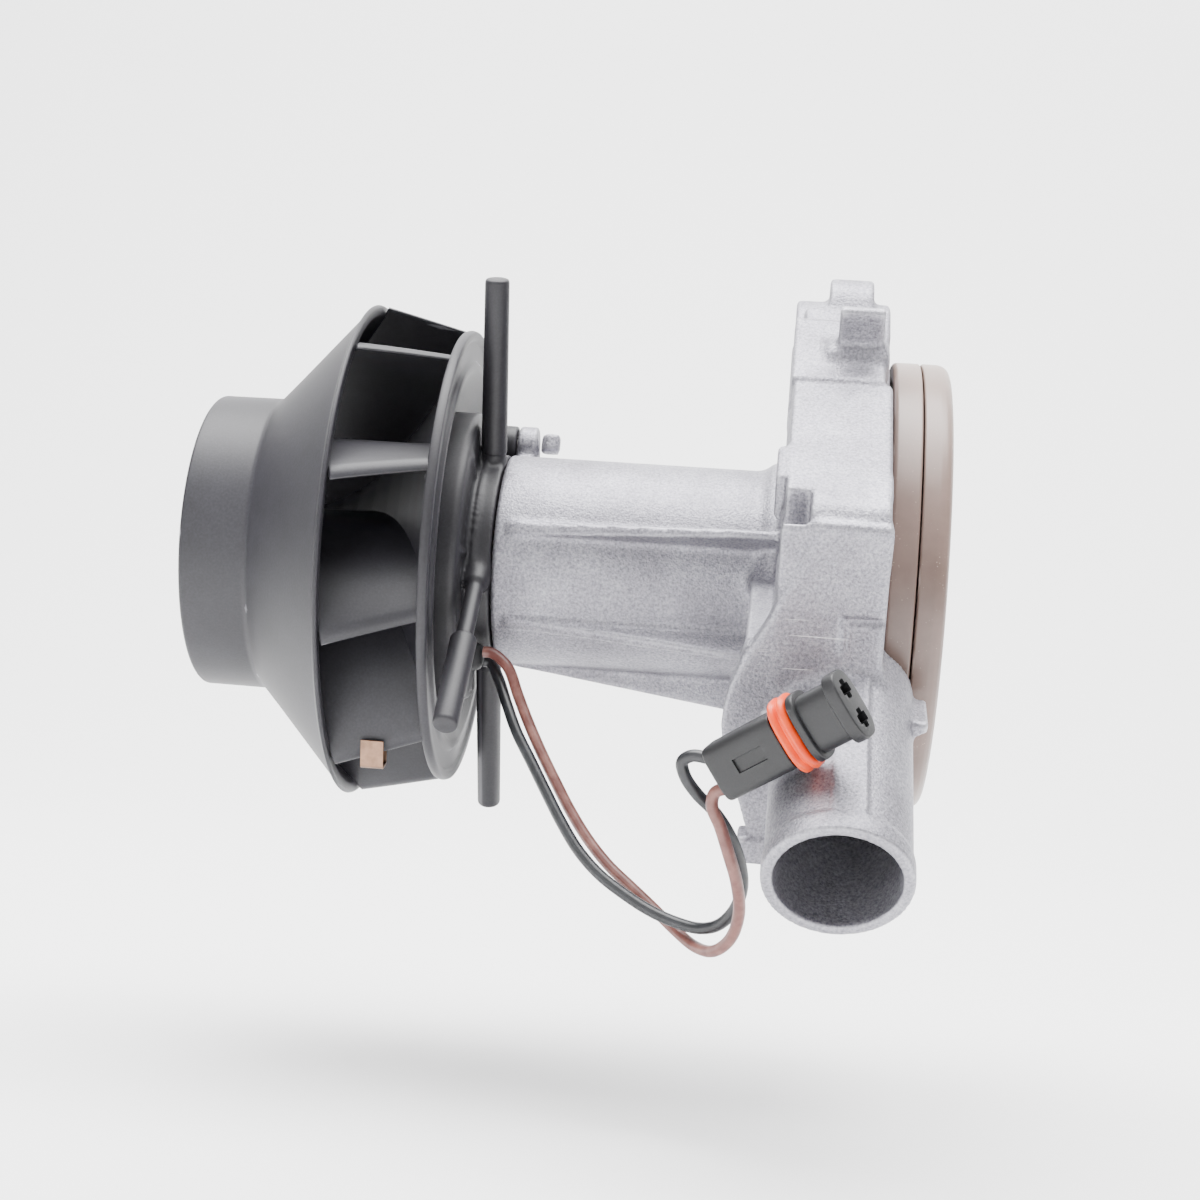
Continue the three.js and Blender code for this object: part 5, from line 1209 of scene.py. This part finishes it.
# ---- Cover screws ----------------------------------------------------------------------------
# Two zinc-plated socket screws through the ears; the head is domed, with a hexagon socket.
SOCKET_R = 1.3
for side, degrees in (("upper", EARS[0]), ("lower", EARS[1])):
    y, z = level_place(*on_casting(26, degrees))
    seat = COVER_RIGHT - 0.3 - 2.5
    places = np.array([seat - 1.0, seat - 1.0, seat - 2.0, seat - 2.0, seat - 1.85, seat - 1.5,
                      seat - 0.15, seat,
                       seat, -71.6, -71.5, -71.5])
    radii = np.array([0.02, 1.25, 1.3, 1.9, 2.35, 2.7, 2.8, 2.7, 1.5, 1.5, 1.3, 0.02])
    turns = np.linspace(0, 2 * math.pi, 60, endpoint=False)
    hexagon = 1.15 * math.cos(math.pi / 6) / np.cos((turns % (math.pi / 3)) - math.pi / 6)
    rows = []
    for x, radius in zip(places, radii):
        in_socket = x < seat - 0.5 and radius <= SOCKET_R
        reach = hexagon * radius / SOCKET_R if in_socket else radius
        rows.append(np.stack([x + 0 * turns, y - reach * np.sin(turns), z + reach * np.cos(turns)], -1))
    screw = new_piece(f"socket_screw_{side}", np.concatenate(rows) * MM, closed_grid(len(rows), 60), 30)
    close_ends(screw, 60)
    screw.data.materials.append(zinc_steel)
    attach(screw, "housing")
    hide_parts(f"cover_screw_{side}")

# ---- Motor can, screws, bearings and springs -------------------------------------------------
# Deep-drawn steel can with fine draw lines along it; hardened bearing rings, lapped bright; zinc
# plated springs and screws. They keep the frame's own shapes, inside the barrel.
drawn_steel = bare_metal("drawn_steel", "#5d5d61", "#85858a", 0.36, (60.0, 1500.0, 1500.0), 0.01)
bearing_steel = bare_metal("bearing_steel", "#b5b5ba", "#dcdce0", 0.16, (1800.0, 90.0, 90.0), 0.003)
spring_steel = bare_metal("spring_steel", "#8a8a8e", "#b8b8bc", 0.28, (500.0, 500.0, 500.0), 0.004)


def dress(material, *nodes):
    """Gives carried-over nodes of the frame a material in place of their plain one."""
    for node in nodes:
        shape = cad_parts[node]
        shape.data.materials.clear()
        shape.data.materials.append(material)


dress(drawn_steel, "motor_can")
dress(zinc_steel, "motor_screw_1", "motor_screw_2", "motor_screw_3")
dress(spring_steel, "brush_spring_upper", "brush_spring_lower")
for side in ("left", "right"):
    dress(bearing_steel, f"bearing_outer_ring_{side}", f"bearing_inner_ring_{side}", f"bearing_balls_{side}")


# ---- Armature and commutator -----------------------------------------------------------------
# A stack of 0.5 mm silicon-steel laminations, brown at their cut edges; slots filled with enamelled
# copper wire, laid side by side; a copper commutator.
def ruled(name, dark, light, pitch_mm, along, rough, metallic=1.0, bump_mm=0.08):
    """A surface of fine even ridges along one axis: laminations or turns of wire."""
    material, tree = blank_material(name)
    place = add_node(tree, "ShaderNodeTexCoord").outputs["Object"]
    rulings = add_node(tree, "ShaderNodeTexWave", {"wave_type": "BANDS", "bands_direction": along},
                       Vector=place, Scale=1000.0 / pitch_mm / 20.0, Distortion=0.4, Detail=1.0)
    cloud = add_node(tree, "ShaderNodeTexNoise", Vector=place, Scale=320.0, Detail=4.0)
    mixed = add_node(tree, "ShaderNodeMath", {"operation": "MULTIPLY_ADD"}, s0=cloud.outputs["Fac"], s1=0.5,
                     s2=rulings.outputs["Fac"])
    tone = add_node(tree, "ShaderNodeValToRGB", s0=mixed.outputs[0])
    set_ramp(tone, (0.3, dark), (1.0, light))
    bump = add_node(tree, "ShaderNodeBump", Height=rulings.outputs["Fac"], Strength=0.8,
                    Distance=bump_mm * MM)
    shader = add_node(tree, "ShaderNodeBsdfPrincipled", Base_Color=tone.outputs["Color"], Metallic=metallic,
                      Roughness=rough, Normal=bump.outputs["Normal"])
    add_node(tree, "ShaderNodeOutputMaterial", Surface=shader.outputs[0])
    return material


dress(ruled("laminations", "#3c342f", "#77706b", 0.5, "X", 0.42), "armature_core")
enamelled_wire = ruled("enamelled_copper_wire", "#6e2d12", "#c9743c", 0.45, "Y", 0.3, 0.9, 0.15)
dress(enamelled_wire, "armature_windings", "suppression_choke_front", "suppression_choke_rear")
dress(bare_metal("commutator_copper", "#5a3020", "#b26a44", 0.3, (2500.0, 80.0, 80.0), 0.01), "commutator")

# ---- Magnets, brushes, brush plate and felt --------------------------------------------------
# Sintered ferrite with a chalky ground skin; pressed copper-graphite brushes with a sheen; black
# moulded brush plate; a ring of grey-brown wool felt.
dress(moulded_plastic("sintered_ferrite", "#37373a", "#48484c", 0.7, 0.25, 0.03, "#66666a", 0.4),
      "magnet_front", "magnet_rear")
dress(moulded_plastic("copper_graphite", "#242022", "#3a3230", 0.38, 0.18, 0.02, "#6d5444", 0.8),
      "carbon_brush_upper", "carbon_brush_lower")
dress(cover_plastic, "brush_plate")
dress(moulded_plastic("wool_felt", "#6b6354", "#8d8472", 0.95, 0.5, 0.3, "#a39a88", 0.1), "shaft_seal")
